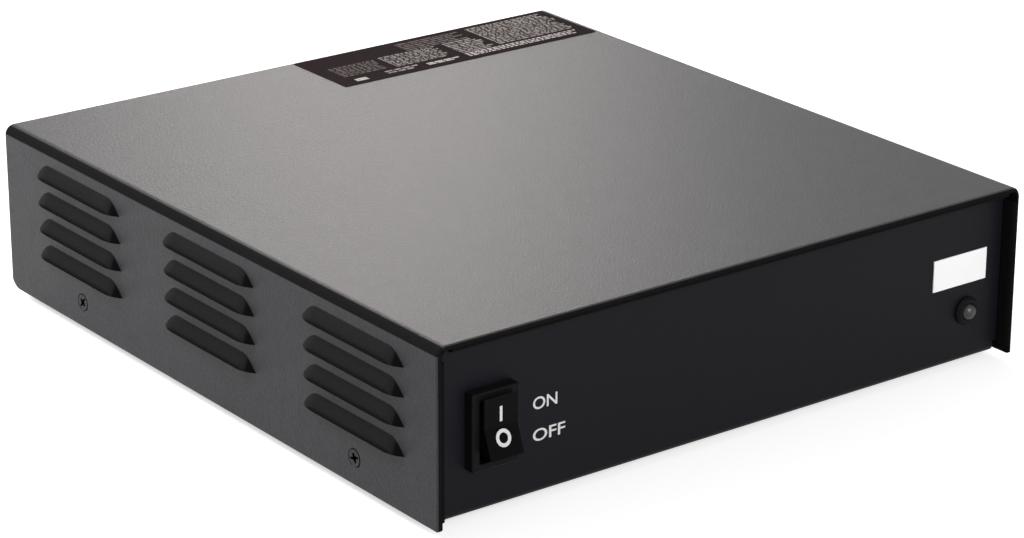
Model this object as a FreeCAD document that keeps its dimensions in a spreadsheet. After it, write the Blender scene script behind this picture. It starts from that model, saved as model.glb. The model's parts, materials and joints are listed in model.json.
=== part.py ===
import FreeCAD, Part
import math
import operator
import os

import Sketcher
from FreeCAD import Placement, Rotation, Vector

# Desktop battery charger: a louvred folded cover over a folded chassis that carries
# a power supply board, a mains switch, a mains inlet, a fan and two output sockets.
# Frame: origin under the middle of the charger on the surface that its feet stand on,
# +Z up, the front panel faces -Y and the left side is at -X. Millimetres and degrees.
# The pieces are drawn round the middle of the case. The rocker stands out in front of
# the case, so each finished piece is then moved back by case_shift.

DRIVING_SIZES = (
    ("case_width", 200.0, "across the side walls of the cover"),
    ("case_depth", 216.0, "front edge to rear edge of the cover"),
    ("case_height", 50.0, "bottom edge to top face of the cover"),
    ("case_shift", 1.8, "middle of the case behind the origin"),
    ("gauge", 1.2, "thickness of the steel sheet"),
    ("bend_radius", 3.0, "outside radius of the cover's two bends"),
    ("fold_radius", 2.0, "outside radius of the chassis folds"),
    ("rear_corner", 5.0, "radius of the cover's lower rear corners"),
    ("front_corner", 1.0, "radius of the cover's lower front corners"),
    ("hem_depth", 4.0, "how far the hemmed edges are folded back"),
    ("hem_notch", 1.5, "length left unhemmed at a bend or a corner"),
    ("nose_radius", 1.1, "rounding of the hemmed edge"),
    ("panel_recess", 4.4, "front and rear walls behind the cover's edges"),
    ("slide_gap", 0.3, "clearance between cover and chassis"),
    ("lip_height", 13.0, "height of the chassis side lips"),
    ("lip_notch", 9.0, "corner relief between lips and end walls"),
    ("foot_height", 2.5, "height of the rubber feet"),
    ("foot_radius", 6.0, "radius of a foot at the chassis"),
    ("foot_inset", 18.0, "foot centre to the cover's side and edge"),
    ("louvre_length", 45.5, "length of a louvre on the wall"),
    ("louvre_rise", 4.3, "height of a louvre"),
    ("louvre_proud", 2.5, "how far a louvre's lip stands out"),
    ("louvre_pitch", 8.13, "from one louvre to the next below"),
    ("louvre_rows", 4, "louvres in a group"),
    ("louvre_top", 44.5, "top of the upper louvre over the cover's bottom edge"),
    ("louvre_end_turn", 6.0, "axis of a louvre's rounded end inside the wall"),
    ("front_group_inset", 37.1, "middle of the front group to the cover's front edge"),
    ("rear_group_inset", 41.9, "middle of the rear group to the cover's rear edge"),
    ("screw_level", 7.5, "cover screws over the cover's bottom edge"),
    ("screw_radius", 1.5, "M3 screw shank"),
    ("screw_head_radius", 2.75, "countersunk head"),
    ("screw_length", 6.0, "countersunk screw, overall"),
    ("nut_radius", 3.0, "clinch nut in a lip"),
    ("nut_height", 2.6, "clinch nut behind a lip"),
    ("fit_gap", 0.05, "radial clearance of screws, pins and shafts"),
    ("seat_gap", 0.2, "clearance of bodies in their cut-outs"),
    ("switch_inset", 18.8, "middle of the mains switch to the case's left side"),
    ("switch_level", 23.5, "middle of the switch over the cover's bottom edge"),
    ("bezel_width", 15.0, "switch bezel"),
    ("bezel_height", 21.5, "switch bezel"),
    ("bezel_proud", 3.4, "switch bezel in front of the panel"),
    ("bezel_round", 0.6, "rounding of the bezel's front edges"),
    ("switch_body_width", 12.9, "switch body behind the panel"),
    ("switch_body_height", 19.2, "switch body behind the panel"),
    ("switch_body_depth", 12.0, "switch body behind the panel"),
    ("rocker_width", 10.4, "rocker"),
    ("rocker_reach", 8.1, "rocker's valley to the corner of an end"),
    ("rocker_flank", 6.5, "half height where a flank ends"),
    ("rocker_depth", 8.0, "pivot to the valley of the rocker"),
    ("rocker_shoulder", 5.5, "pivot to where a flank ends"),
    ("rocker_leg", 2.2, "radius of the rocker round its pivot"),
    ("rocker_stand", 1.8, "pressed half in front of the bezel"),
    ("rocker_side_gap", 0.2, "rocker to the side of its window"),
    ("rocker_end_gap", 0.6, "rocker corner to the end of its window"),
    ("rocker_swing", 20.0, "travel of the rocker in degrees"),
    ("pivot_radius", 1.2, "rocker pivot"),
    ("pivot_length", 0.8, "pivot stub in the switch body's side"),
    ("blade_width", 4.8, "switch terminal blade"),
    ("blade_thickness", 0.8, "switch terminal blade"),
    ("blade_length", 7.0, "switch terminal blade behind the body"),
    ("blade_pitch", 7.0, "between the two terminal blades"),
    ("lamp_inset", 14.9, "middle of the indicator lamp to the case's right side"),
    ("lamp_level", 15.2, "lamp over the cover's bottom edge"),
    ("lamp_radius", 2.5, "5 mm light-emitting diode"),
    ("lamp_proud", 3.3, "tip of the lamp in front of the panel"),
    ("lamp_length", 8.6, "lamp from its flange to its tip"),
    ("lamp_holder_radius", 4.1, "flange of the lamp holder"),
    ("lamp_holder_proud", 1.6, "flange of the lamp holder"),
    ("lamp_barrel_radius", 3.3, "lamp holder in the panel hole"),
    ("lamp_barrel_length", 8.0, "lamp holder behind the panel"),
    ("badge_inset", 18.0, "middle of the white badge to the case's right side"),
    ("badge_level", 28.0, "badge over the cover's bottom edge"),
    ("badge_width", 20.0, "badge"),
    ("badge_height", 9.2, "badge"),
    ("badge_thickness", 0.3, "badge"),
    ("label_width", 96.0, "label on the cover"),
    ("label_depth", 28.5, "label on the cover"),
    ("label_thickness", 0.15, "label on the cover"),
    ("label_side_inset", 3.6, "label to the cover's right side"),
    ("label_rear_inset", 1.6, "label to the cover's rear edge"),
    ("standoff_height", 6.0, "board over the chassis floor"),
    ("standoff_radius", 3.0, "standoff"),
    ("board_thickness", 1.6, "main board"),
    ("board_side_gap", 6.0, "main board to the lips"),
    ("board_front_gap", 6.4, "main board to the front wall"),
    ("board_rear_gap", 26.4, "main board to the rear wall"),
    ("edge_column_share", 0.1, "film capacitors and fuse, share of the half board from its edge"),
    ("left_column_share", 0.37, "chokes and mains capacitors, share from the left edge"),
    ("storage_share", 0.33, "inner output capacitors, share from the right edge"),
    ("output_share", 0.26, "output choke, share from the right edge"),
    ("board_hole_inset", 5.0, "standoff to the edges of the board"),
    ("board_screw_head", 2.8, "pan head radius"),
    ("board_screw_head_height", 2.0, "pan head height"),
    ("board_screw_length", 5.0, "pan head screw below the head"),
    ("sheet_thickness", 0.4, "insulating sheet on the chassis floor"),
    ("sheet_margin", 8.0, "insulating sheet inside the board's outline"),
    ("sink_length", 108.0, "heat sink"),
    ("sink_height", 33.0, "heat sink"),
    ("sink_web", 3.0, "upright web of a heat sink"),
    ("sink_core_gap", 1.0, "heat sink fins to the transformer core"),
    ("sink_fin_thickness", 1.4, "heat sink fin"),
    ("sink_fins", 6, "fins on a heat sink"),
    ("sink_share", 0.37, "heat sink's outer face, share of the half board from the middle"),
    ("sink_row", 0.58, "middle of the heat sinks, share of the board from its front"),
    ("package_width", 15.6, "power transistor"),
    ("package_thickness", 4.8, "power transistor"),
    ("package_height", 20.0, "power transistor"),
    ("package_lift", 5.0, "power transistor over the board"),
    ("package_pitch", 22.0, "between power transistors"),
    ("bridge_width", 22.0, "bridge rectifier"),
    ("bridge_row", 0.81, "middle of the bridge rectifier, share from the board's front"),
    ("lead_section", 1.0, "component lead"),
    ("core_width", 42.0, "transformer core across the windows"),
    ("core_depth", 16.0, "transformer core"),
    ("core_height", 34.0, "transformer core"),
    ("core_leg", 6.0, "outer legs and yokes of the core"),
    ("core_centre_leg", 14.0, "middle leg of the core"),
    ("coil_depth", 31.0, "transformer coil"),
    ("coil_gap", 0.5, "coil to the core's legs and yokes"),
    ("coil_round", 4.0, "corners of the coil"),
    ("core_x", 0.0, "middle of the transformer"),
    ("core_row", 0.57, "middle of the transformer, share from the board's front"),
    ("bulk_radius", 12.5, "mains capacitor"),
    ("bulk_height", 35.0, "mains capacitor"),
    ("bulk_pitch", 28.0, "between the mains capacitors"),
    ("bulk_row", 0.37, "rear mains capacitor, share from the board's front"),
    ("storage_radius", 6.25, "output capacitor"),
    ("storage_height", 25.0, "output capacitor"),
    ("storage_pitch", 16.0, "between output capacitors"),
    ("storage_row", 0.44, "rear row of output capacitors, share from the board's front"),
    ("film_length", 26.0, "film capacitor"),
    ("film_width", 10.0, "film capacitor"),
    ("film_height", 19.0, "film capacitor"),
    ("film_row", 0.69, "rear film capacitor, share from the board's front"),
    ("film_front_row", 0.37, "front film capacitor, share from the board's front"),
    ("ring_base", 2.0, "mount under a ring choke"),
    ("boost_ring", 9.0, "power factor choke, ring radius"),
    ("boost_round", 4.8, "power factor choke, radius of its winding"),
    ("boost_row", 0.6, "power factor choke, share from the board's front"),
    ("line_ring", 8.5, "line filter choke, ring radius"),
    ("line_round", 4.5, "line filter choke, radius of its winding"),
    ("line_row", 0.81, "line filter choke, share from the board's front"),
    ("output_ring", 9.0, "output choke, ring radius"),
    ("output_round", 4.5, "output choke, radius of its winding"),
    ("output_row", 0.69, "output choke, share from the board's front"),
    ("fuse_radius", 2.5, "glass fuse"),
    ("fuse_length", 20.0, "glass fuse"),
    ("fuse_cap", 5.0, "metal cap of the fuse"),
    ("fuse_lift", 5.0, "middle of the fuse over the board"),
    ("fuse_row", 0.87, "middle of the fuse, share from the board's front"),
    ("clip_thickness", 0.5, "fuse clip"),
    ("control_length", 42.0, "upright control board"),
    ("control_height", 24.0, "upright control board"),
    ("control_row", 0.29, "upright control board, share from the board's front"),
    ("chip_length", 10.0, "control chip"),
    ("chip_height", 6.0, "control chip"),
    ("chip_thickness", 1.6, "control chip"),
    ("standby_width", 18.0, "standby transformer"),
    ("standby_depth", 20.0, "standby transformer"),
    ("standby_height", 17.0, "standby transformer"),
    ("standby_row", 0.79, "standby transformer, share from the board's front"),
    ("fan_size", 40.0, "fan frame"),
    ("fan_depth", 20.0, "fan frame"),
    ("fan_flange", 3.5, "corner flanges of the fan frame"),
    ("fan_wall", 1.0, "ring of the fan frame"),
    ("fan_hole_pitch", 32.0, "fan screws"),
    ("fan_x", 4.0, "middle of the fan"),
    ("hub_radius", 9.0, "fan hub"),
    ("hub_length", 14.0, "fan hub"),
    ("motor_plate", 2.5, "motor plate of the fan frame"),
    ("strut_width", 2.4, "struts of the motor plate"),
    ("shaft_radius", 1.5, "fan shaft"),
    ("blade_count", 7, "fan blades"),
    ("blade_chord", 11.0, "fan blade"),
    ("blade_gauge", 1.1, "fan blade"),
    ("blade_root_pitch", 52.0, "blade angle at the hub in degrees"),
    ("blade_tip_pitch", 38.0, "blade angle at the tip in degrees"),
    ("blade_tip_gap", 0.7, "blade tip to the frame's bore"),
    ("guard_wire", 0.8, "radius of the finger guard's wire"),
    ("guard_ring", 17.0, "largest ring of the finger guard"),
    ("guard_rings", 3, "rings of the finger guard"),
    ("guard_pitch", 5.5, "between rings of the finger guard"),
    ("guard_eye", 2.5, "eye of the finger guard round a screw"),
    ("fan_screw_length", 9.0, "fan screw below its head"),
    ("inlet_inset", 42.0, "middle of the mains inlet to the case's left side"),
    ("inlet_flange_width", 50.0, "inlet flange"),
    ("inlet_flange_height", 24.0, "inlet flange"),
    ("inlet_flange_depth", 2.2, "inlet flange"),
    ("inlet_body_width", 28.0, "inlet body through the rear wall"),
    ("inlet_body_height", 20.0, "inlet body through the rear wall"),
    ("inlet_body_depth", 16.0, "inlet body behind its flange"),
    ("inlet_mouth_width", 24.2, "socket cavity"),
    ("inlet_mouth_height", 16.0, "socket cavity"),
    ("inlet_mouth_depth", 16.0, "socket cavity"),
    ("inlet_mouth_cut", 4.5, "cut corners of the socket cavity"),
    ("inlet_screw_pitch", 40.0, "inlet screws"),
    ("inlet_round", 4.0, "corners of the inlet flange"),
    ("pin_width", 2.0, "inlet pin"),
    ("pin_height", 4.0, "inlet pin"),
    ("pin_pitch", 7.0, "side pins from the earth pin"),
    ("pin_rise", 1.9, "earth pin over the middle, side pins below it"),
    ("pin_inset", 5.0, "pin tips inside the mouth"),
    ("pin_tail", 6.0, "pins behind the inlet body"),
    ("inlet_screw_length", 8.0, "inlet screw below its head"),
    ("socket_inset", 29.0, "outer output socket to the case's right side"),
    ("socket_pitch", 19.0, "between the output sockets"),
    ("socket_bore", 2.0, "bore for a 4 mm plug"),
    ("socket_bore_length", 18.0, "depth of the bore"),
    ("socket_flange_radius", 5.5, "output socket flange"),
    ("socket_flange_depth", 3.6, "output socket flange"),
    ("socket_body_radius", 4.0, "output socket in the wall"),
    ("socket_body_length", 12.0, "output socket behind the wall"),
    ("sleeve_radius", 3.0, "metal sleeve of a socket"),
    ("stud_radius", 1.5, "solder stud of a socket"),
    ("stud_length", 6.0, "solder stud of a socket"),
    ("socket_nut_radius", 6.0, "socket nut"),
    ("socket_nut_height", 3.0, "socket nut"),
    ("post_size", 5.0, "output post on the board"),
    ("post_height", 8.0, "output post on the board"),
    ("post_row", 0.95, "output posts, share from the board's front"),
    ("thin_lead", 0.8, "radius of a fan lead"),
    ("lamp_wire", 0.6, "radius of a lamp lead"),
    ("mains_lead", 1.2, "radius of a mains lead"),
    ("output_lead", 1.7, "radius of an output lead"),
    ("lead_reach", 9.5, "run of a lead before it turns down"),
    ("lead_gap", 4.5, "between the two switch leads"),
    ("earth_reach", 3.0, "run of the earth lead before it turns down"),
    ("lamp_reach", 16.0, "run of the lamp leads before they turn down"),
    ("fan_lead_rise", 4.0, "fan leads over the board"),
)

OPERATORS = {"+": operator.add, "-": operator.sub, "*": operator.mul, "/": operator.truediv}
TOLERANCE = 0.01
LEAD_TURN = 0.45

DOC = FreeCAD.newDocument("battery_charger")
NODES = []


class Size:
    """A length, count or angle: its number and the expression that gives it from the sheet."""

    def __init__(self, number, text=None):
        self.number = float(number)
        self.text = text if text is not None else "(%r)" % float(number)

    def __add__(self, other):
        return joined(self, "+", other)

    def __radd__(self, other):
        return joined(other, "+", self)

    def __sub__(self, other):
        return joined(self, "-", other)

    def __rsub__(self, other):
        return joined(other, "-", self)

    def __mul__(self, other):
        return joined(self, "*", other)

    def __rmul__(self, other):
        return joined(other, "*", self)

    def __truediv__(self, other):
        return joined(self, "/", other)

    def __neg__(self):
        return joined(0, "-", self)

    def __float__(self):
        return self.number


def as_size(value):
    """Gives a plain number the form of a Size."""
    return value if isinstance(value, Size) else Size(value)


def joined(left, sign, right):
    """Joins two sizes in number and in text."""
    left = as_size(left)
    right = as_size(right)
    number = OPERATORS[sign](left.number, right.number)
    return Size(number, "(%s %s %s)" % (left.text, sign, right.text))


def sine(angle):
    """Sine of a Size in degrees."""
    return Size(math.sin(math.radians(angle.number)), "sin(%s * 1deg)" % angle.text)


def cosine(angle):
    """Cosine of a Size in degrees."""
    return Size(math.cos(math.radians(angle.number)), "cos(%s * 1deg)" % angle.text)


def tangent(angle):
    """Tangent of a Size in degrees."""
    return Size(math.tan(math.radians(angle.number)), "tan(%s * 1deg)" % angle.text)


def root(size):
    """Square root of a Size."""
    return Size(math.sqrt(size.number), "sqrt(%s)" % size.text)


class Sheet:
    """The spreadsheet of driving sizes, read by name."""

    def __init__(self, rows):
        self.cells = DOC.addObject("Spreadsheet::Sheet", "sizes")
        self.numbers = {}
        for row, (alias, number, note) in enumerate(rows, start=1):
            self.cells.set("A%d" % row, alias)
            self.cells.set("B%d" % row, "%g" % number)
            self.cells.set("C%d" % row, note)
            self.cells.setAlias("B%d" % row, alias)
            self.numbers[alias] = number

    def __getattr__(self, alias):
        return Size(self.numbers[alias], "sizes.%s" % alias)


S = Sheet(DRIVING_SIZES)
DOC.recompute()

# Planes and levels that several pieces share.
BASE = S.foot_height
TOP = BASE + S.case_height
HALF_WIDTH = S.case_width / 2
HALF_DEPTH = S.case_depth / 2
SHELL_HALF = HALF_WIDTH - S.gauge - S.slide_gap
LIP_FACE = SHELL_HALF - S.gauge
WALL = HALF_DEPTH - S.panel_recess
FLOOR = BASE + S.gauge
WALL_TOP = TOP - S.gauge - S.slide_gap
BOARD_TOP = FLOOR + S.standoff_height + S.board_thickness
BOARD_HALF = LIP_FACE - S.board_side_gap
BOARD_FRONT = -WALL + S.gauge + S.board_front_gap
BOARD_REAR = WALL - S.gauge - S.board_rear_gap
MIDDLE = BASE + S.case_height / 2
HOLE_RADIUS = S.screw_radius + S.fit_gap
SWITCH_X = S.switch_inset - HALF_WIDTH
LAMP_X = HALF_WIDTH - S.lamp_inset
BADGE_X = HALF_WIDTH - S.badge_inset
INLET_X = S.inlet_inset - HALF_WIDTH
SOCKET_X = HALF_WIDTH - S.socket_inset
SINK_X = BOARD_HALF * S.sink_share


def board_row(share):
    """A row across the board, given as a share of its depth from its front edge."""
    return BOARD_FRONT + (BOARD_REAR - BOARD_FRONT) * share


def board_column(side, share):
    """A column on the board, given as a share of its half width from an edge."""
    return (BOARD_HALF - BOARD_HALF * share) * side


def bind(item, prop, size):
    """Ties one property of an object to the sheet."""
    item.setExpression(prop, as_size(size).text)


def place(item, x=0, y=0, z=0):
    """Puts an object at a place worked out from the sheet."""
    for axis, size in zip("xyz", (x, y, z)):
        bind(item, "Placement.Base.%s" % axis, size)


def node(item, name):
    """Names a finished piece and moves it to its place in the charger's frame."""
    piece = DOC.addObject("Part::Compound", "piece_%s" % name)
    piece.Label = name
    piece.Links = [item]
    bind(piece, "Placement.Base.y", S.case_shift)
    NODES.append(piece)


def new_body(name):
    """An empty body."""
    return DOC.addObject("PartDesign::Body", name)


def new_sketch(body, plane, offset=0):
    """A sketch on one of the body's own planes, moved along the plane's normal."""
    sketch = body.newObject("Sketcher::SketchObject", "%s_sketch" % body.Name)
    support = next(item for item in body.Origin.OriginFeatures if item.Role == plane)
    sketch.AttachmentSupport = [(support, "")]
    sketch.MapMode = "FlatFace"
    bind(sketch, "AttachmentOffset.Base.z", offset)
    return sketch


def pin_point(sketch, geometry, position, x, y):
    """Holds one point of a sketch at a place from the sheet."""
    for kind, size in (("DistanceX", as_size(x)), ("DistanceY", as_size(y))):
        index = sketch.addConstraint(Sketcher.Constraint(kind, -1, 1, geometry, position, size.number))
        sketch.setExpression("Constraints[%d]" % index, size.text)


def outline(sketch, points):
    """Draws a closed outline through the points."""
    corners = [Vector(float(x), float(y), 0) for x, y in points]
    first = None
    for start, end in zip(corners, corners[1:] + corners[:1]):
        index = sketch.addGeometry(Part.LineSegment(start, end), False)
        first = index if first is None else first
    for step, (x, y) in enumerate(points):
        line = first + step
        before = first + (step - 1) % len(points)
        sketch.addConstraint(Sketcher.Constraint("Coincident", before, 2, line, 1))
        pin_point(sketch, line, 1, x, y)


def rectangle(sketch, x_low, y_low, x_high, y_high):
    """Draws a rectangle."""
    outline(sketch, [(x_low, y_low), (x_high, y_low), (x_high, y_high), (x_low, y_high)])


def middle_rectangle(sketch, x, y, width, height):
    """Draws a rectangle round its middle."""
    rectangle(sketch, x - width / 2, y - height / 2, x + width / 2, y + height / 2)


def circle(sketch, x, y, radius):
    """Draws a circle."""
    radius = as_size(radius)
    shape = Part.Circle(Vector(float(x), float(y), 0), Vector(0, 0, 1), radius.number)
    index = sketch.addGeometry(shape, False)
    pin_point(sketch, index, 3, x, y)
    held = sketch.addConstraint(Sketcher.Constraint("Radius", index, radius.number))
    sketch.setExpression("Constraints[%d]" % held, radius.text)


def extrude(body, kind, sketch, length, reverse=False, symmetric=False):
    """Pads or pockets a sketch."""
    feature = body.newObject("PartDesign::%s" % kind, "%s_%s" % (body.Name, kind.lower()))
    feature.Profile = sketch
    feature.SideType = "Symmetric" if symmetric else "One side"
    feature.Reversed = reverse
    bind(feature, "Length", length)
    return feature


def pad(body, sketch, length, reverse=False, symmetric=False):
    """Adds a sketch's outline over a length."""
    return extrude(body, "Pad", sketch, length, reverse, symmetric)


def pocket(body, sketch, length, reverse=False, symmetric=False):
    """Cuts a sketch's outline over a length."""
    return extrude(body, "Pocket", sketch, length, reverse, symmetric)


def revolve(body, sketch, angle=360, reverse=False):
    """Turns a sketch round its vertical axis."""
    feature = body.newObject("PartDesign::Revolution", "%s_turn" % body.Name)
    feature.Profile = sketch
    feature.ReferenceAxis = (sketch, ["V_Axis"])
    feature.Angle = angle
    feature.Reversed = reverse
    return feature


def straight_edges(shape, axis, **middle):
    """Names of the straight edges along an axis whose middle has the given coordinates."""
    names = []
    for number, edge in enumerate(shape.Edges, start=1):
        if edge.Curve.TypeId != "Part::GeomLine":
            continue
        run = edge.Vertexes[-1].Point - edge.Vertexes[0].Point
        if abs(abs(getattr(run, axis)) - run.Length) > TOLERANCE:
            continue
        centre = edge.CenterOfMass
        if all(abs(getattr(centre, key) - float(size)) < TOLERANCE for key, size in middle.items()):
            names.append("Edge%d" % number)
    return names


def fillet(body, radius, *choices):
    """Rounds the body's straight edges that the choices of axis and middle pick."""
    DOC.recompute()
    shape = body.Tip.Shape
    edges = [name for axis, middle in choices for name in straight_edges(shape, axis, **middle)]
    feature = body.newObject("PartDesign::Fillet", "%s_fillet" % body.Name)
    feature.Base = (body.Group[-2], edges)
    bind(feature, "Radius", radius)
    body.Tip = feature
    return feature


def block(name, low, high):
    """A box between two corners."""
    item = DOC.addObject("Part::Box", name)
    for prop, start, end in zip(("Length", "Width", "Height"), low, high):
        bind(item, prop, end - start)
    place(item, *low)
    return item


AXIS_TURNS = {
    "Z": Rotation(),
    "Y": Rotation(Vector(1, 0, 0), -90),
    "X": Rotation(Vector(0, 1, 0), 90),
    "-Y": Rotation(Vector(1, 0, 0), 90),
    "-X": Rotation(Vector(0, 1, 0), -90),
}


def rod(name, start, radius, length, axis="Z"):
    """A cylinder from its start point along an axis."""
    item = DOC.addObject("Part::Cylinder", name)
    item.Placement = Placement(Vector(), AXIS_TURNS[axis])
    bind(item, "Radius", radius)
    bind(item, "Height", length)
    place(item, *start)
    return item


def ring(name, centre, ring_radius, wire_radius, axis="Z"):
    """A torus."""
    item = DOC.addObject("Part::Torus", name)
    item.Placement = Placement(Vector(), AXIS_TURNS[axis])
    bind(item, "Radius1", ring_radius)
    bind(item, "Radius2", wire_radius)
    place(item, *centre)
    return item


def fused(name, items):
    """Several shapes as one solid."""
    item = DOC.addObject("Part::MultiFuse", name)
    item.Shapes = items
    item.Refine = True
    return item


def cut(name, base, tool):
    """One shape less another."""
    item = DOC.addObject("Part::Cut", name)
    item.Base = base
    item.Tool = tool
    return item


def repeated(name, source, placements):
    """Copies of one piece, as a group of separate solids."""
    DOC.recompute()
    item = DOC.addObject("Part::Feature", name)
    copies = []
    for placement in placements:
        copy = source.Shape.copy()
        copy.Placement = placement.multiply(source.Shape.Placement)
        copies.append(copy)
    item.Shape = Part.makeCompound(copies)
    return item


def spots(points, turn=None):
    """Placements at points given as sizes, all turned the same way."""
    turn = turn or Rotation()
    return [Placement(Vector(float(x), float(y), float(z)), turn) for x, y, z in points]


def turned_piece(name, profile):
    """A body turned from half a section, given as points of radius and height."""
    body = new_body(name)
    sketch = new_sketch(body, "XZ_Plane")
    outline(sketch, profile)
    revolve(body, sketch)
    return body


def group_middles():
    """The middles of the three groups of louvres along the side."""
    front = S.front_group_inset - HALF_DEPTH
    rear = HALF_DEPTH - S.rear_group_inset
    return [front, (front + rear) / 2, rear]


def cover_screw_rows():
    """The cover screws stand under the front and the rear group of louvres."""
    middles = group_middles()
    return [middles[0], middles[2]]


def make_louvre(name, section):
    """A louvre: its section over the straight part, turned to a rounded cone at both ends."""
    body = new_body(name)
    straight = S.louvre_length - 2 * LOUVRE_END
    middle = new_sketch(body, "XZ_Plane")
    outline(middle, section)
    pad(body, middle, straight, symmetric=True)
    for side in (-1, 1):
        end = new_sketch(body, "XZ_Plane", straight / 2 * side)
        bind(end, "AttachmentOffset.Base.x", S.louvre_end_turn)
        outline(end, [(x - S.louvre_end_turn, z) for x, z in section])
        revolve(body, end, 90, reverse=side < 0)
    inside = new_sketch(body, "XZ_Plane")
    rectangle(inside, 0, -S.gauge, S.louvre_end_turn + S.gauge, S.louvre_rise + S.gauge)
    pocket(body, inside, 2 * S.louvre_length, symmetric=True)
    return body


LOUVRE_OUT = S.gauge + S.louvre_proud
LOUVRE_TURN = S.louvre_end_turn + LOUVRE_OUT
WALL_TURN = S.louvre_end_turn + S.gauge
LOUVRE_END = root(LOUVRE_TURN * LOUVRE_TURN - WALL_TURN * WALL_TURN)
LOUVRE_SLANT = root(S.louvre_proud * S.louvre_proud + S.louvre_rise * S.louvre_rise)
LOUVRE_SKIN = S.gauge * LOUVRE_SLANT / S.louvre_rise


def louvre_places():
    """Where the louvres of both sides stand, from the wall's inner face and the lip's edge."""
    places = []
    for side, turn in ((-1, Rotation()), (1, Rotation(Vector(0, 0, 1), 180))):
        for middle in group_middles():
            for row in range(int(float(S.louvre_rows))):
                level = BASE + S.louvre_top - S.louvre_rise - S.louvre_pitch * row
                x = (HALF_WIDTH - S.gauge) * side
                places += spots([(x, middle, level)], turn)
    return places


def make_cover_sheet():
    """The folded sheet with hemmed front and rear edges, before its louvres are pressed."""
    body = new_body("cover_sheet")
    inner = HALF_WIDTH - S.gauge
    ceiling = TOP - S.gauge
    profile = new_sketch(body, "XZ_Plane")
    outline(profile, [
        (-HALF_WIDTH, BASE), (-HALF_WIDTH, TOP), (HALF_WIDTH, TOP), (HALF_WIDTH, BASE),
        (inner, BASE), (inner, ceiling), (-inner, ceiling), (-inner, BASE)])
    pad(body, profile, S.case_depth, symmetric=True)
    fillet(body, S.bend_radius,
           ("y", dict(x=HALF_WIDTH, z=TOP)), ("y", dict(x=-HALF_WIDTH, z=TOP)))
    fillet(body, S.bend_radius - S.gauge,
           ("y", dict(x=inner, z=ceiling)), ("y", dict(x=-inner, z=ceiling)))
    hem_end = S.bend_radius + S.hem_notch
    for side, lower in ((1, S.front_corner), (-1, S.rear_corner)):
        hem = new_sketch(body, "XZ_Plane", HALF_DEPTH * side)
        low = BASE + lower + S.hem_notch
        rectangle(hem, -inner, low, -inner + S.gauge, TOP - hem_end)
        rectangle(hem, inner - S.gauge, low, inner, TOP - hem_end)
        rectangle(hem, -HALF_WIDTH + hem_end, ceiling - S.gauge, HALF_WIDTH - hem_end, ceiling)
        pad(body, hem, S.hem_depth, reverse=side > 0)
    outer_edges = [("z", dict(x=HALF_WIDTH * side, y=HALF_DEPTH * end))
                   for side in (-1, 1) for end in (-1, 1)]
    outer_edges += [("x", dict(z=TOP, y=HALF_DEPTH * end)) for end in (-1, 1)]
    fillet(body, S.nose_radius, *outer_edges)
    hem_edges = [("z", dict(x=(inner - S.gauge) * side, y=HALF_DEPTH * end))
                 for side in (-1, 1) for end in (-1, 1)]
    hem_edges += [("x", dict(z=ceiling - S.gauge, y=HALF_DEPTH * end)) for end in (-1, 1)]
    fillet(body, S.nose_radius, *hem_edges)
    return body


def make_side_outline():
    """The outline of the cover seen from the side, with its rounded lower corners."""
    body = new_body("side_outline")
    sketch = new_sketch(body, "YZ_Plane")
    rectangle(sketch, -HALF_DEPTH, BASE, HALF_DEPTH, TOP)
    pad(body, sketch, S.case_width, symmetric=True)
    fillet(body, S.front_corner, ("x", dict(y=-HALF_DEPTH, z=BASE)))
    fillet(body, S.rear_corner, ("x", dict(y=HALF_DEPTH, z=BASE)))
    return body


def screw_spots(x):
    """The four cover screws at a distance from the middle, as point and outward turn."""
    level = BASE + S.screw_level
    rows = cover_screw_rows()
    left = spots([(-x, y, level) for y in rows], AXIS_TURNS["-X"])
    return left + spots([(x, y, level) for y in rows], AXIS_TURNS["X"])


def make_cover():
    """The finished cover: hemmed sheet, pressed louvres and countersunk screw holes."""
    outer = [(-LOUVRE_OUT, 0), (-S.gauge, S.louvre_rise), (0, S.louvre_rise), (0, 0)]
    hollow_top = (LOUVRE_OUT - LOUVRE_SKIN) * S.louvre_rise / S.louvre_proud
    hollow = [(LOUVRE_SKIN - LOUVRE_OUT, 0), (0, hollow_top), (0, 0)]
    forms = repeated("louvre_forms", make_louvre("louvre_form", outer), louvre_places())
    hollows = repeated("louvre_hollows", make_louvre("louvre_hollow", hollow), louvre_places())
    countersink = turned_piece("countersink", [
        (0, 0), (S.screw_head_radius + S.fit_gap, 0), (HOLE_RADIUS, -S.gauge),
        (HOLE_RADIUS, -2 * S.gauge), (0, -2 * S.gauge)])
    holes = repeated("cover_holes", countersink, screw_spots(HALF_WIDTH))
    sheets = [make_cover_sheet(), make_side_outline()]
    trimmed = DOC.addObject("Part::MultiCommon", "trimmed_sheet")
    trimmed.Shapes = sheets
    pressed = cut("pressed_sheet", fused("raised_sheet", [trimmed, forms]), hollows)
    node(cut("cover_with_holes", pressed, holes), "cover")


def standoff_points():
    """Where the standoffs hold the board."""
    x = BOARD_HALF - S.board_hole_inset
    front = BOARD_FRONT + S.board_hole_inset
    rear = BOARD_REAR - S.board_hole_inset
    return [(x * side, y) for side in (-1, 1) for y in (front, (front + rear) / 2, rear)]


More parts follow.
